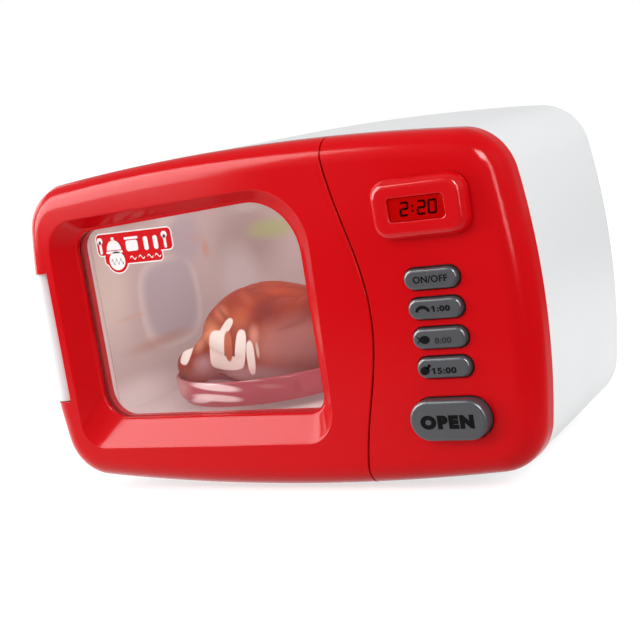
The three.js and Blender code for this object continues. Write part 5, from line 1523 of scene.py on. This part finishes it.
@dataclass
class Display:
    """Raised surround with its dark red window and printed card."""

    x: float = 91.5
    z: float = 44.0
    width: float = 45.0
    height: float = 26.0
    radius: float = 8.0
    proud: float = 6.0
    slope: float = 4.0
    wall: float = 2.2
    window_width: float = 26.0
    window_height: float = 10.0
    window_radius: float = 1.5
    pane_overlap: float = 1.6
    neck_inset: float = 4.5
    pane_sunk: float = 1.0
    steps: int = 14
    flare: float = 0.7
    neck_past: float = 1.2
    pane_thickness: float = 1.5
    lens_past: float = 0.5
    card_deep: Flat = (1.8, 2.3)
    digits_left: float = -7.5
    digit_width: float = 3.3
    digit_height: float = 5.3
    bar_width: float = 0.9
    bar_gap: float = 0.12
    lean: float = 0.09
    time: tuple[tuple[float, str], ...] = ((0.0, "abged"), (8.0, "abged"), (13.1, "abcdef"))
    colon: tuple[Flat, ...] = ((5.6, 0.3), (5.6, 0.68))

    def raised(self, inset: float) -> Outline:
        """Outline of the surround, moved inwards."""
        return rectangle(self.x, self.z, self.width - 2 * inset, self.height - 2 * inset, self.radius - inset)

    def window(self, margin: float, rounding: float) -> Outline:
        """Outline of the window, grown by a margin, and its corners' radius by a rounding."""
        return rectangle(self.x, self.z, self.window_width + 2 * margin, self.window_height + 2 * margin,
                         self.window_radius + rounding)

    def build(self) -> None:
        """Builds and dresses the surround, the window, the card and its digits."""
        rings = [ring_at(self.raised(0.0), -CASE.gap)]
        for angle in angles(0.0, QUARTER, self.steps)[1:]:
            inset = self.slope * (1 - math.cos(angle))
            rings.append(ring_at(self.raised(inset), -self.proud * math.sin(angle)))
        surround = loft("display_surround", rings)
        back = CASE.bezel_wall + CASE.gap + self.neck_past
        combine(surround, Joining.ADD, prism("neck", self.raised(self.neck_inset), -self.proud / 2, back))
        behind = self.wall - self.proud
        pocket = prism("pocket", self.window(self.pane_overlap + CASE.gap, 0.0), behind, back + 1)
        wide = self.window(self.flare, self.flare)
        plain = self.window(0.0, 0.0)
        hole = loft("hole", [ring_at(wide, -self.proud - 1),
                             *rounded_step(ring_at(wide, -self.proud), ring_at(plain, -self.proud),
                                           ring_at(plain, self.flare - self.proud)),
                             ring_at(plain, 0.0)])
        combine(surround, Joining.CUT, pocket, hole)
        deliver(polish(surround), SURROUND_PLASTIC, "case", Slot.RED, "display_bezel")
        front = behind + CASE.gap
        face = self.pane_sunk - self.proud
        seat = self.window(self.pane_overlap, 0.0)
        pane = prism("display_pane", seat, front, front + self.pane_thickness)
        lens = self.window(-CASE.gap / 2, -CASE.gap / 2)
        combine(pane, Joining.ADD, prism("lens", lens, face, front + self.lens_past))
        deliver(polish(pane), DISPLAY_PLASTIC, "case", Slot.DISPLAY, "display_window")
        card = prism("display_backing_card", seat, front + self.card_deep[0], front + self.card_deep[1])
        deliver(polish(card), DISPLAY_CARD, "case", Slot.CARD, "display_card")
        deliver(self.digits(face), DIGIT_INK, "case", Slot.CARD)

    def digits(self, face: float) -> Body:
        """Seven-bar digits of the time shown, as thin plates on the window.

        Args:
            face: Depth of the window's front face.

        Returns:
            The piece.
        """
        width, height = self.digit_width, self.digit_height
        half = height / 2
        left, low = self.x + self.digits_left, self.z - half
        runs = {"a": (0, height, width, height), "b": (width, height, width, half),
                "c": (width, half, width, 0), "d": (0, 0, width, 0), "e": (0, half, 0, 0),
                "f": (0, height, 0, half), "g": (0, half, width, half)}
        strokes = []
        for start, letters in self.time:
            for x, z, x_end, z_end in (runs[letter] for letter in letters):
                dx = (x_end - x) * self.bar_gap
                dz = (z_end - z) * self.bar_gap
                strokes.append((start + x + dx, z + dz, start + x_end - dx, z_end - dz))
        dot = 0.1
        strokes += [(start, height * rise, start + dot, height * rise) for start, rise in self.colon]
        outlines = []
        for x, z, x_end, z_end in strokes:
            turn = math.atan2(z_end - z, x_end - x)
            ends = arc(left + x_end, low + z_end, self.bar_width / 2, turn - QUARTER, turn + QUARTER, 6)
            ends += arc(left + x, low + z, self.bar_width / 2, turn + QUARTER, turn + 3 * QUARTER, 6)
            outlines.append([(px + self.lean * (pz - low), pz) for px, pz in ends])
        return join_loose("display_digits", plates(outlines, face - PRINT_DEPTH, face + PRINT_SUNK))


@dataclass(frozen=True)
class KeyPlan:
    """One push button: its name, height and print."""

    name: str
    z: float
    text: str
    box: tuple[float, ...]
    weight: float
    ink: Finish = BLACK_PRINT


@dataclass
class PushButtons:
    """Four grey push buttons and the large one that opens the door."""

    x: float = 91.5
    width: float = 25.3
    height: float = 9.0
    proud: float = 2.6
    round: float = 1.5
    open_z: float = -46.5
    open_width: float = 36.4
    open_height: float = 17.7
    open_proud: float = 5.88
    open_round: float = 1.6
    flange_front: float = 2.7
    flange_thickness: float = 1.2
    flange_reach: float = 0.9
    stem_radius: float = 2.0
    open_stem_half: float = 4.0
    open_stem_back: float = 17.3
    print_sunk: float = 0.1
    open_box: tuple[float, ...] = (78.7, 103.8, -50.0, -43.9)
    open_weight: float = 0.085
    keys: tuple[KeyPlan, ...] = (
        KeyPlan("on_off", 13.76, "ON/OFF", (83.6, 99.7, 12.2, 15.2), 0.02),
        KeyPlan("1_00", 1.05, "1:00", (90.9, 98.9, -0.2, 2.3), 0.04),
        KeyPlan("8_00", -11.66, "8:00", (89.6, 97.3, -13.8, -11.2), 0.012, FAINT_PRINT),
        KeyPlan("15_00", -24.37, "15:00", (86.8, 97.6, -26.8, -24.1), 0.035),
    )

    def cap(self, name: str, z: float, width: float, height: float, proud: float,
            round_edge: float) -> Body:
        """Stadium cap with a rounded edge and a flange behind the panel.

        Args:
            name: Name of the piece.
            z: Middle height.
            width: Full width.
            height: Full height.
            proud: Reach in front of the panel.
            round_edge: Radius of its edge.

        Returns:
            The piece.
        """
        def shrunk(inset: float, y: float) -> Ring:
            """Ring of the cap, moved inwards."""
            return ring_at(stadium(self.x, z, width - 2 * inset, height - 2 * inset), y)

        rings = [shrunk(round_edge * (1 - math.sin(angle)), round_edge * (1 - math.cos(angle)) - proud)
                 for angle in angles(0.0, QUARTER, 8)]
        back = self.flange_front + self.flange_thickness
        rings += [shrunk(0.0, self.flange_front), shrunk(-self.flange_reach, self.flange_front),
                  shrunk(-self.flange_reach, back)]
        return loft(name, rings)

    def printed(self, name: str, outlines: list[Outline]) -> Body:
        """Thin prints on the small buttons' faces."""
        return join_loose(name, plates(outlines, -self.proud - PRINT_DEPTH, self.print_sunk - self.proud))

    def build(self) -> None:
        """Builds and dresses all five buttons with their prints."""
        stem_back = self.flange_front + self.flange_thickness + 2.0
        for key in self.keys:
            body = f"key_{key.name}"
            cap = self.cap(f"{body}_cap", key.z, self.width, self.height, self.proud, self.round)
            stem = bar("stem", "Y", self.stem_radius, (self.x, key.z), (self.flange_front + 1, stem_back))
            combine(cap, Joining.ADD, stem)
            deliver(polish(cap), BUTTON_PLASTIC, body, Slot.BUTTON, f"button_{key.name}")
            text = lettering(f"{body}_print", key.text, key.box, -self.proud, key.weight)
            if key.text.startswith("1"):
                left, top = key.box[0], key.box[3]
                flag = [(left + 0.25, top), (left - 0.75, top - 0.55), (left - 0.75, top - 1.0),
                        (left + 0.25, top - 0.5)]
                text = join_loose(f"{body}_print", [text, self.printed("serif", [flag])])
            deliver(text, key.ink, body, Slot.DARK)
        for body, outlines in (("key_1_00", self.crescent_roll()), ("key_8_00", self.fish()),
                               ("key_15_00", self.drumstick())):
            deliver(self.printed(f"{body}_picture", outlines), BLACK_PRINT, body, Slot.DARK)
        cap = self.cap("opener_cap", self.open_z, self.open_width, self.open_height, self.open_proud,
                       self.open_round)
        half = self.open_stem_half
        across, high = span(self.x, half), span(self.open_z, half)
        stem = block("stem", across, (self.flange_front + 1, self.open_stem_back), high)
        wedge = prism_down("wedge", [(across[0], self.open_stem_back), (across[1], self.open_stem_back),
                                     (across[0], self.open_stem_back + 2 * half)], high)
        combine(cap, Joining.ADD, stem, wedge)
        deliver(polish(cap), BUTTON_PLASTIC, "opener", Slot.BUTTON, "open_button")
        word = lettering("opener_print", "OPEN", self.open_box, -self.open_proud, self.open_weight)
        deliver(word, BLACK_PRINT, "opener", Slot.DARK)

    def crescent_roll(self) -> list[Outline]:
        """Crescent roll."""
        return [oval(86.0, 0.1, 3.4, 2.6, 0.0, math.pi, 16) + oval(86.0, -0.1, 2.2, 1.4, math.pi, 0.0, 16)]

    def fish(self) -> list[Outline]:
        """Fish that swims to the right."""
        reach = math.pi - 0.35
        tail = [(81.1, -10.1), (82.2, -11.9), (81.1, -13.7)]
        return [oval(84.9, -11.9, 2.4, 1.75, -reach, reach, 20) + tail]

    def drumstick(self) -> list[Outline]:
        """Drumstick with its bone to the upper right.

        Returns:
            The outlines of the meat, the bone and its knob.
        """
        meat = [(82.9 + 2.2 * math.cos(a) - 0.4 * math.sin(a), 1.8 * math.sin(a) + 0.6 * math.cos(a) - 25.2)
                for a in angles(0.0, FULL, 24)[:-1]]
        bone = [(84.2, -24.9), (85.3, -23.5), (84.7, -23.1), (83.6, -24.3)]
        return [meat, bone, arc(85.2, -23.2, 0.75, 0.0, FULL, 14)[:-1]]


@dataclass
class Housing:
    """White case behind the red front, open at the front."""

    front: float = 16.8
    back: float = 150.0
    half_width: float = 133.0
    back_half_width: float = 119.8
    half_height: float = 78.15
    fillet: float = 16.0
    wall: float = 2.6
    screw_places: tuple[Flat, ...] = ((-95.0, -59.5), (-95.0, 65.5), (95.0, -59.5), (95.0, 65.5))
    post_radius: float = 5.0
    seat: float = 62.0
    foot_places: tuple[Flat, ...] = ((-62.0, 48.0), (-62.0, 115.0), (62.0, 48.0), (62.0, 115.0))
    cover_x: float = 60.0
    cover_z: float = 15.95
    cover_half_x: float = 29.2
    cover_half_z: float = 24.4
    tab_half: float = 6.0
    tab_top: float = 49.85
    speaker_z: float = -38.0
    speaker_radius: float = 16.0
    slots: int = 6
    grooves: int = 5
    groove_pitch: float = 2.6
    groove_height: float = 1.4
    groove_depth: float = 0.7
    slot_pitch: float = 5.0
    slot_width: float = 2.0
    well_radius: float = 3.0
    bore_radius: float = 1.7
    plug_radius: float = 2.7
    head_seat: float = 4.9
    screw_shaft: float = 14.4

    @property
    def inside(self) -> float:
        """Depth of the back wall's inner face."""
        return self.back - self.wall

    def solid(self, name: str, inset: float, front: float, back: float) -> Body:
        """Closed case body with its taper and rounded back edge.

        Args:
            name: Name of the object.
            inset: Distance inwards.
            front: Depth of its open end.
            back: Depth of its back.

        Returns:
            The object.
        """
        fillet = self.fillet - inset
        rings = [ring_at(CASE.outline(inset, self.half_width, self.half_height), front)]
        for angle in angles(0.0, QUARTER, CASE.fillet_steps):
            turn_in = inset + fillet * (1 - math.cos(angle))
            rings.append(ring_at(CASE.outline(turn_in, self.back_half_width, self.half_height),
                                 back - fillet + fillet * math.sin(angle)))
        return loft(name, rings)

    def build(self) -> None:
        """Builds and dresses the shell."""
        shell = self.solid("rear_shell", 0.0, self.front, self.back)
        combine(shell, Joining.CUT, self.solid("inside", self.wall, self.front - 1, self.inside))
        posts = []
        cutters = []
        for place in self.screw_places:
            post = bar("post", "Y", self.post_radius, place, (self.seat, self.inside + 1))
            posts.append(combine(post, Joining.SHARE, self.solid("outside", 0.0, self.front, self.back)))
            cutters.append(bar("well", "Y", self.well_radius, place, (self.seat + 3, self.back + 1)))
            cutters.append(bar("hole", "Y", self.bore_radius, place, (self.seat - 1, self.back)))
        combine(shell, Joining.ADD, *posts)
        for place in self.foot_places:
            cutters.append(bar("plug", "Z", self.plug_radius, place,
                               (-self.half_height - 1, -self.half_height + self.fillet)))
        for i in range(self.slots):
            offset = (i - (self.slots - 1) / 2) * self.slot_pitch
            half = math.sqrt((self.speaker_radius - 3) ** 2 - offset ** 2)
            slot = stadium(self.cover_x, self.speaker_z + offset, 2 * half, self.slot_width, 8)
            cutters.append(prism("slot", slot, self.inside - 1, self.back + 1))
        room = CASE.gap
        cutters.append(block("opening", span(self.cover_x, self.cover_half_x + room),
                             (self.inside - 1, self.back + 1), span(self.cover_z, self.cover_half_z + room)))
        cutters.append(block("tab", span(self.cover_x, self.tab_half + room),
                             (self.inside - 1.5, self.back + 1.5), (self.cover_z, self.tab_top + room)))
        combine(shell, Joining.CUT, *cutters)
        deliver(polish(shell), WHITE_PLASTIC, "case", Slot.WHITE, "rear_housing")
        self.build_cover()
        heads = screw_set("case_screws", [(x, self.seat + self.head_seat, z) for x, z in self.screw_places],
                          self.screw_shaft)
        deliver(heads, STEEL, "case", Slot.STEEL, *(f"case_screw_{i}" for i in range(1, 5)))

    def build_cover(self) -> None:
        """Adds grip grooves to the battery cover."""
        front = self.back - CASE.gap - self.groove_depth
        outlines = [stadium(self.cover_x, self.cover_z - self.cover_half_z + self.groove_pitch * (i + 1.5),
                            self.cover_half_x, self.groove_height, 8) for i in range(self.grooves)]
        cover = combine(copied_node("battery_cover", "battery_door"), Joining.CUT,
                        *plates(outlines, front, self.back + 1))
        deliver(polish(cover), WHITE_PLASTIC, "cover", Slot.WHITE, "battery_cover")


@dataclass
class CookingSpace:
    """Liner, card, dish and bird behind the window."""

    left: float = -107.0
    right: float = 15.0
    bottom: float = -50.0
    top: float = 57.5
    back: float = 137.0
    radius: float = 8.0
    wall: float = 2.0
    front: float = 19.5
    flange: float = 5.0
    flange_thickness: float = 1.6
    turntable_y: float = 80.0
    lamp: Flat = (-12.0, 56.0)
    lamp_radius: float = 4.3
    hub_radius: float = 4.4
    post_room: float = 5.3
    flare: tuple[Flat, ...] = ((16.0, 21.2), (16.8, 20.7), (26.0, 14.9), (30.0, 12.0))
    flare_shy: float = 0.05
    card_bend: float = 34.0
    card_faces: Flat = (0.3, 0.8)
    bird_rise: float = 8.3

    @property
    def middle_x(self) -> float:
        """Middle of the cooking space."""
        return (self.left + self.right) / 2

    def outline(self, margin: float) -> Outline:
        """Outline of the cooking space, grown by a margin."""
        return rectangle(self.middle_x, (self.top + self.bottom) / 2, self.right - self.left + 2 * margin,
                         self.top - self.bottom + 2 * margin, self.radius + margin)

    def flared_mouth(self, grown: float) -> Body:
        """Room of the mouth, which flares to the right towards the window.

        Args:
            grown: Distance outwards.

        Returns:
            The body.
        """
        rings = []
        shy = self.flare_shy - grown
        for y, right in self.flare:
            outline = rectangle((self.left + right + grown + shy) / 2, (self.top + self.bottom) / 2,
                                right + grown - self.left - shy, self.top - self.bottom - 2 * shy, self.radius)
            rings.append(ring_at(outline, y))
        return loft("flared_mouth", rings)

    def build(self) -> None:
        """Builds and dresses what is seen through the window."""
        plate = combine(copied_node("front_frame", "front_plate"), Joining.CUT, self.flared_mouth(0.0))
        deliver(polish(plate), WHITE_PLASTIC, "case", Slot.WHITE, "front_frame")
        liner = prism("cooking_space_liner", self.outline(self.wall), self.front, self.back + self.wall)
        combine(liner, Joining.ADD,
                prism("flange", self.outline(self.flange), self.front, self.front + self.flange_thickness))
        flare = combine(self.flared_mouth(self.wall), Joining.SHARE,
                        block("behind", (self.left - self.flange, self.right + 2 * self.flange),
                              (self.front, self.back), (self.bottom - self.flange, self.top + self.flange)))
        combine(liner, Joining.ADD, flare)
        posts = [bar("post", "Y", self.post_room, place, (self.front - 1, Housing.seat))
                 for place in Housing.screw_places]
        hub = bar("hub", "Z", self.hub_radius, (self.middle_x, self.turntable_y),
                  (self.bottom - 3, self.bottom + 1))
        combine(liner, Joining.CUT, prism("space", self.outline(0.0), self.front - 1, self.back),
                self.flared_mouth(0.0), hub,
                bar("lamp", "Z", self.lamp_radius, self.lamp, (self.top - 1, self.top + 3)), *posts)
        deliver(polish(liner), LINER_PLASTIC, "case", Slot.LINER, "cavity_liner")
        card = combine(self.bent_card(), Joining.SHARE, prism("trim", self.outline(-0.2), 0.0, self.back))
        deliver(polish(card), CARD_PRINT, "case", Slot.CARD, "backdrop_card")
        dish = turned_body("turntable_dish", dish_profile(), (self.middle_x, self.turntable_y, self.bottom),
                           DISH_PLASTIC, 120)
        deliver(dish, DISH_PLASTIC, "dish", Slot.RED, "turntable_plate")
        bird = RoastBird((self.middle_x, self.turntable_y, self.bottom + self.bird_rise)).build()
        deliver(bird, ROAST, "food", Slot.FOOD, "roast_chicken")

    def bent_card(self) -> Body:
        """Picture card that bends round the left back corner of the cooking space.

        Returns:
            The card, untrimmed.
        """
        path = []
        for offset in self.card_faces:
            side = self.left + offset
            rear = self.back - offset
            turn = self.card_bend - offset
            curve = [(side + turn - turn * math.cos(a), rear - turn + turn * math.sin(a))
                     for a in angles(0.0, QUARTER, 24)]
            line = [(side, self.front + 3), *curve, (self.right, rear)]
            path += line if not path else reversed(line)
        return prism_down("picture_card", path, (self.bottom, self.top))


def dish_profile() -> Outline:
    """Half section of the dish, from the middle of its underside round to the middle of its floor.

    Returns:
        Radius and height of each point.
    """
    foot = 4.0
    floor = foot + 2.0
    rim = foot + 13.0
    upper = floor + 2.0
    hub = [(0.0, foot), (8.5, foot), (9.0, foot + 0.5), (9.0, floor)]
    foot_ring = [(47.6, floor), (48.0, floor - 0.4), (48.0, foot + 0.3), (48.3, foot), (49.6, foot)]
    foot_edge = [(49.6 + 0.5 * math.sin(a), foot + 0.5 - 0.5 * math.cos(a)) for a in (0.5, 1.0, 1.5)]
    belly = [(50.1 + 2.9 * math.sin(QUARTER * min(1.0, 1.7 * share)), foot + 0.6 + 10.4 * share)
             for share in (0.06, 0.12, 0.19, 0.26, 0.34, 0.43, 0.52, 0.62, 0.75, 0.88, 1.0)]
    lip = [(52.0 + math.cos(a), rim - 1.2 + 1.2 * math.sin(a))
           for a in (0.35, 0.75, 1.2, 1.57, 2.0, 2.45, 2.9)]
    inner_wall = [(50.9 - 2.1 * share, rim - 1.8 - 8.2 * share) for share in (0.2, 0.45, 0.7, 0.9)]
    top = [(48.4, floor + 2.6), (47.6, floor + 2.2), (46.4, upper), (20.0, upper), (0.0, upper)]
    return hub + foot_ring + foot_edge + belly + lip + inner_wall + top


LEG_TILT = math.radians(-22)
LEG_HALF = 22.8


@dataclass
class RoastBird:
    """Roast bird: it stands on zero, legs to the right.

    Each form of one side is listed as half sizes, middle from the body's middle, and tilt about Y.
    """

    place: Place
    body: Place = (40.0, 29.0, 27.0)
    flat: float = 5.0
    forms: tuple[tuple[Place, Place, float], ...] = (
        ((23.0, 10.5, 10.5), (12.0, 15.0, 7.0), LEG_TILT),
        ((5.0, 5.0, 5.0), (12.0 + LEG_HALF * math.cos(LEG_TILT), 15.0, 7.0 + LEG_HALF * 0.375), 0.0),
        ((17.0, 6.5, 6.5), (-10.2, 24.0, 0.0), math.radians(20)),
        ((10.5, 8.5, 9.5), (-37.5, 20.0, -11.0), math.radians(12)),
        ((15.0, 10.0, 10.0), (-28.5, 16.0, -5.5), math.radians(-40)),
    )
    voxel: float = 1.1
    dents: tuple[Flat, ...] = ((110.0, 0.5), (320.0, 0.12))

    def egg(self, radii: Place, middle: Place, tilt: float) -> Body:
        """Egg-shaped form.

        Args:
            radii: Half sizes.
            middle: Middle above the bird's own zero.
            tilt: Turn about the Y axis in radians.

        Returns:
            The form.
        """
        mesh = bpy.data.meshes.new("form")
        turn = Matrix.Rotation(tilt, 4, "Y")
        with opened(mesh) as work:
            bmesh.ops.create_icosphere(work, subdivisions=4, radius=1.0)
            for vert in work.verts:
                shaped = turn @ Vector([part * radius for part, radius in zip(vert.co, radii)])
                vert.co = row_place(shaped + Vector(middle) + Vector(self.place))
        return add_object("form", mesh)

    def build(self) -> Body:
        """Melts the forms together, smooths them and cuts the foot flat.

        Returns:
            The piece.
        """
        middle = self.body[2] - self.flat
        forms = [self.egg(self.body, (0.0, 0.0, middle), 0.0)]
        for side in (-1, 1):
            for radii, (x, y, z), tilt in self.forms:
                forms.append(self.egg(radii, (x, side * y, middle + z), tilt))
        bird = join_loose("roast_bird", forms)
        remesh = bird.modifiers.new("melt", "REMESH")
        remesh.mode = "VOXEL"
        remesh.voxel_size = self.voxel * METRE
        smooth = bird.modifiers.new("smooth", "SMOOTH")
        smooth.factor = 0.6
        smooth.iterations = 10
        settle(bird)
        low = row_place(self.place).z
        normals = [vert.normal.copy() for vert in bird.data.vertices]
        for vert, normal in zip(bird.data.vertices, normals):
            swell = sum(noise.noise(vert.co * scale) * height * METRE for scale, height in self.dents)
            place = vert.co + normal * swell
            place.z = max(place.z, low)
            vert.co = place
        bird.data.update()
        bird.data.shade_smooth()
        return bird


@dataclass
class Feet:
    """Four rubber feet."""

    radius: float = 8.0
    round: float = 0.8
    low: float = -80.5
    sole: tuple[Flat, ...] = ((0.0, 0.6), (4.6, 0.6), (5.2, 0.0))
    plug: tuple[Flat, ...] = ((8.0, 2.4), (8.0, 3.4), (2.4, 3.4), (2.4, 8.3), (0.0, 8.3))

    def build(self) -> None:
        """Turns the feet and dresses them."""
        edge = [(self.radius - self.round + self.round * math.sin(a), self.round - self.round * math.cos(a))
                for a in (0.0, 0.5, 1.0, QUARTER)]
        for i, (x, y) in enumerate(Housing.foot_places, 1):
            profile = [*self.sole, *edge, *self.plug]
            foot = turned_body(f"rubber_foot_{i}", profile, (x, y, self.low), RUBBER, 64)
            deliver(foot, RUBBER, "case", Slot.RUBBER, f"foot_{i}")


@dataclass(frozen=True)
class LampPlan:
    """One softbox: its place, size, brightness, what it lights, and what it points at if not down."""

    name: str
    place: Place
    size: Flat
    watts: float
    target: Place | None = None
    diffuse: bool = True
    glossy: bool = True

    def build(self) -> None:
        """Sets up the softbox."""
        light = bpy.data.lights.new(self.name, "AREA")
        light.shape = "RECTANGLE"
        light.size, light.size_y = self.size
        light.energy = self.watts
        lamp = add_object(self.name, light)
        lamp.location = self.place
        if self.target:
            aim = Vector(self.target) - Vector(self.place)
            lamp.rotation_euler = aim.to_track_quat("-Z", "Y").to_euler()
        lamp.visible_camera = False
        lamp.visible_diffuse = self.diffuse
        lamp.visible_glossy = self.glossy


@dataclass
class Studio:
    """Floor, lights, world and camera."""

    eye: Place = (0.368125, -0.605835, 0.172781)
    yaw: float = 32.069
    pitch: float = 8.397
    roll: float = -9.292
    lens: float = 81.55
    ambient: float = 0.72
    mirrored: float = 0.5
    floor_reach: float = 6.0
    floor_grey: float = 0.62
    floor_glow: float = 0.66
    mirror_middle: Place = (-0.45, 0.25, 0.0)
    mirror_from: float = 0.35
    mirror_to: float = 0.85
    near_mirror: float = 2.3
    far_mirror: float = 0.2
    lamps: tuple[LampPlan, ...] = (
        LampPlan("key_softbox", (-0.5, -1.45, 1.15), (1.0, 1.0), 10.2, (0.0, 0.0, 0.075), glossy=False),
        LampPlan("right_fill", (1.66, 0.0, 1.0), (1.2, 1.2), 14.0, (0.1, 0.0, 0.075), glossy=False),
        LampPlan("left_fill", (-1.4, -0.7, 0.35), (0.9, 0.6), 11.0, (0.0, 0.0, 0.08), glossy=False),
        LampPlan("left_gloss", (-1.015, -0.785, 0.83), (0.82, 1.44), 64.0, (0.0, 0.0, 0.83), diffuse=False),
        LampPlan("side_gloss", (-1.3, 0.3, 0.35), (1.1, 0.8), 14.0, (0.0, 0.0, 0.1), diffuse=False),
        LampPlan("corner_gloss", (0.62, -0.85, 0.85), (0.4, 0.34), 22.0, (0.1, 0.0, 0.1), diffuse=False),
        LampPlan("right_gloss", (1.05, -1.05, 0.47), (0.3, 0.85), 14.0, (0.1, 0.0, 0.47), diffuse=False),
        LampPlan("cooking_space_glow", tuple(row_place((-46.0, 78.0, 54.5))), (0.1, 0.09), 0.035),
    )

    def build(self) -> None:
        """Sets up all of it."""
        self.build_world()
        self.build_floor()
        for lamp in self.lamps:
            lamp.build()
        self.build_camera()
        bpy.context.scene.view_settings.view_transform = "Standard"

    def build_world(self) -> None:
        """World that is white to the camera and dimmer where it lights."""
        world = bpy.data.worlds.new("studio_world")
        bpy.context.scene.world = world
        world.use_nodes = True
        wiring = Wiring(world.node_tree)
        wiring.tree.nodes.clear()
        path = wiring.node("ShaderNodeLightPath").outputs
        pure = linear(255, 255, 255)
        dim, mirrored, white = (
            wiring.node("ShaderNodeBackground", {"Color": pure, "Strength": level}).outputs[0]
            for level in (self.ambient, self.mirrored, 1.0))
        lit = wiring.node("ShaderNodeMixShader", {0: path["Is Glossy Ray"], 1: dim, 2: mirrored}).outputs[0]
        seen = wiring.node("ShaderNodeMixShader", {0: path["Is Camera Ray"], 1: lit, 2: white}).outputs[0]
        wiring.node("ShaderNodeOutputWorld", {"Surface": seen})

    def build_floor(self) -> None:
        """Pale floor that looks white, keeps the shadow and mirrors brightly only near the object."""
        reach = self.floor_reach
        corners = [(-reach, -reach, 0), (reach, -reach, 0), (reach, reach, 0), (-reach, reach, 0)]
        floor = add_mesh("studio_floor", corners, [(0, 1, 2, 3)])
        material = bpy.data.materials.new("studio_floor_paper")
        material.use_nodes = True
        wiring = Wiring(material.node_tree)
        wiring.tree.nodes.clear()
        path = wiring.node("ShaderNodeLightPath").outputs
        grey = self.floor_grey
        paper = wiring.node("ShaderNodeBsdfDiffuse", {"Color": (grey, grey, grey, 1.0)}).outputs[0]
        level = wiring.sum_of("MULTIPLY", path["Is Camera Ray"], self.floor_glow)
        glow = wiring.node("ShaderNodeEmission", {"Strength": level}).outputs[0]
        both = wiring.node("ShaderNodeAddShader", {0: paper, 1: glow}).outputs[0]
        place = wiring.node("ShaderNodeTexCoord").outputs["Object"]
        far = wiring.vector_sum("DISTANCE", place, self.mirror_middle, result="Value")
        fade = wiring.node("ShaderNodeMapRange", {
            "Value": far, "From Min": self.mirror_from, "From Max": self.mirror_to, "To Min": self.near_mirror,
            "To Max": self.far_mirror}, interpolation_type="SMOOTHSTEP").outputs["Result"]
        mirrored = wiring.node("ShaderNodeEmission", {"Strength": fade}).outputs[0]
        mix = wiring.node("ShaderNodeMixShader", {0: path["Is Glossy Ray"], 1: both, 2: mirrored}).outputs[0]
        wiring.node("ShaderNodeOutputMaterial", {"Surface": mix})
        floor.data.materials.append(material)

    def build_camera(self) -> None:
        """Camera at the photograph's place."""
        yaw, pitch, roll = (math.radians(turn) for turn in (self.yaw, self.pitch, self.roll))
        back = Vector((math.sin(yaw) * math.cos(pitch), -math.cos(yaw) * math.cos(pitch), math.sin(pitch)))
        right = Vector((0.0, 0.0, 1.0)).cross(back).normalized()
        up = back.cross(right)
        turned_right = right * math.cos(roll) + up * math.sin(roll)
        turned_up = up * math.cos(roll) - right * math.sin(roll)
        data = bpy.data.cameras.new("photo_camera")
        data.lens = self.lens
        data.sensor_width = 36.0
        data.clip_start = 0.01
        camera = add_object("photo_camera", data)
        matrix = Matrix((turned_right, turned_up, back)).transposed().to_4x4()
        matrix.translation = Vector(self.eye)
        camera.matrix_world = matrix
        bpy.context.scene.camera = camera


NODE_FINISHES = {
    WHITE_PLASTIC: ("battery_box", "gear_tray", "latch_slider"),
    GEAR_PLASTIC: ("turntable_drive", "idler_gear", "compound_gear", "motor_pinion"),
    STEEL: ("hinge_pin", "board_screw_1", "board_screw_2", "panel_screw_1", "panel_screw_2", "panel_screw_3",
            "idler_pin", "compound_pin", "gear_motor",
            "battery_contact_1", "battery_contact_2", "battery_cover_screw"),
    BOARD_GREEN: ("control_board",),
    DARK_PLASTIC: ("speaker",),
    LAMP_LENS: ("cavity_lamp",),
    JACKET: ("battery_1", "battery_2", "battery_3"),
}


@dataclass(frozen=True)
class CoilSpring:
    """Coil spring that a joint presses together: axis towards its fixed end, and the joint's travel; the
    joint, axis and travel are not used.
    """

    node: str
    joint: str
    axis: Place
    travel: float

    def build(self) -> None:
        """Dresses the coil and gives it its own mesh."""
        coil = polish(copied_node(self.node, f"{self.node}_coil"))
        deliver(coil, STEEL, "case", Slot.STEEL, self.node)
        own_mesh(coil)


SPRINGS = (
    CoilSpring("open_button_spring", "open_press", (0.0, 1.0, 0.0), 3.0),
    CoilSpring("latch_spring", "latch_slide", (1.0, 0.0, 0.0), 3.0),
)


def dress_nodes() -> None:
    """Gives the CAD nodes that stay their finishes."""
    for finish, names in NODE_FINISHES.items():
        material = finish.build()
        for name in names:
            node = frame["nodes"][name]
            node.data.materials.clear()
            node.data.materials.append(material)


def main() -> None:
    """Builds the studio and every sub-assembly."""
    logging.basicConfig(level=logging.INFO, format="%(name)s: %(message)s")
    for part in (Studio(), Door(), ControlPanel(), Display(), PushButtons(), Housing(), CookingSpace(), Feet(),
                 *SPRINGS):
        part.build()
    dress_nodes()


if __name__ == "__main__":
    main()
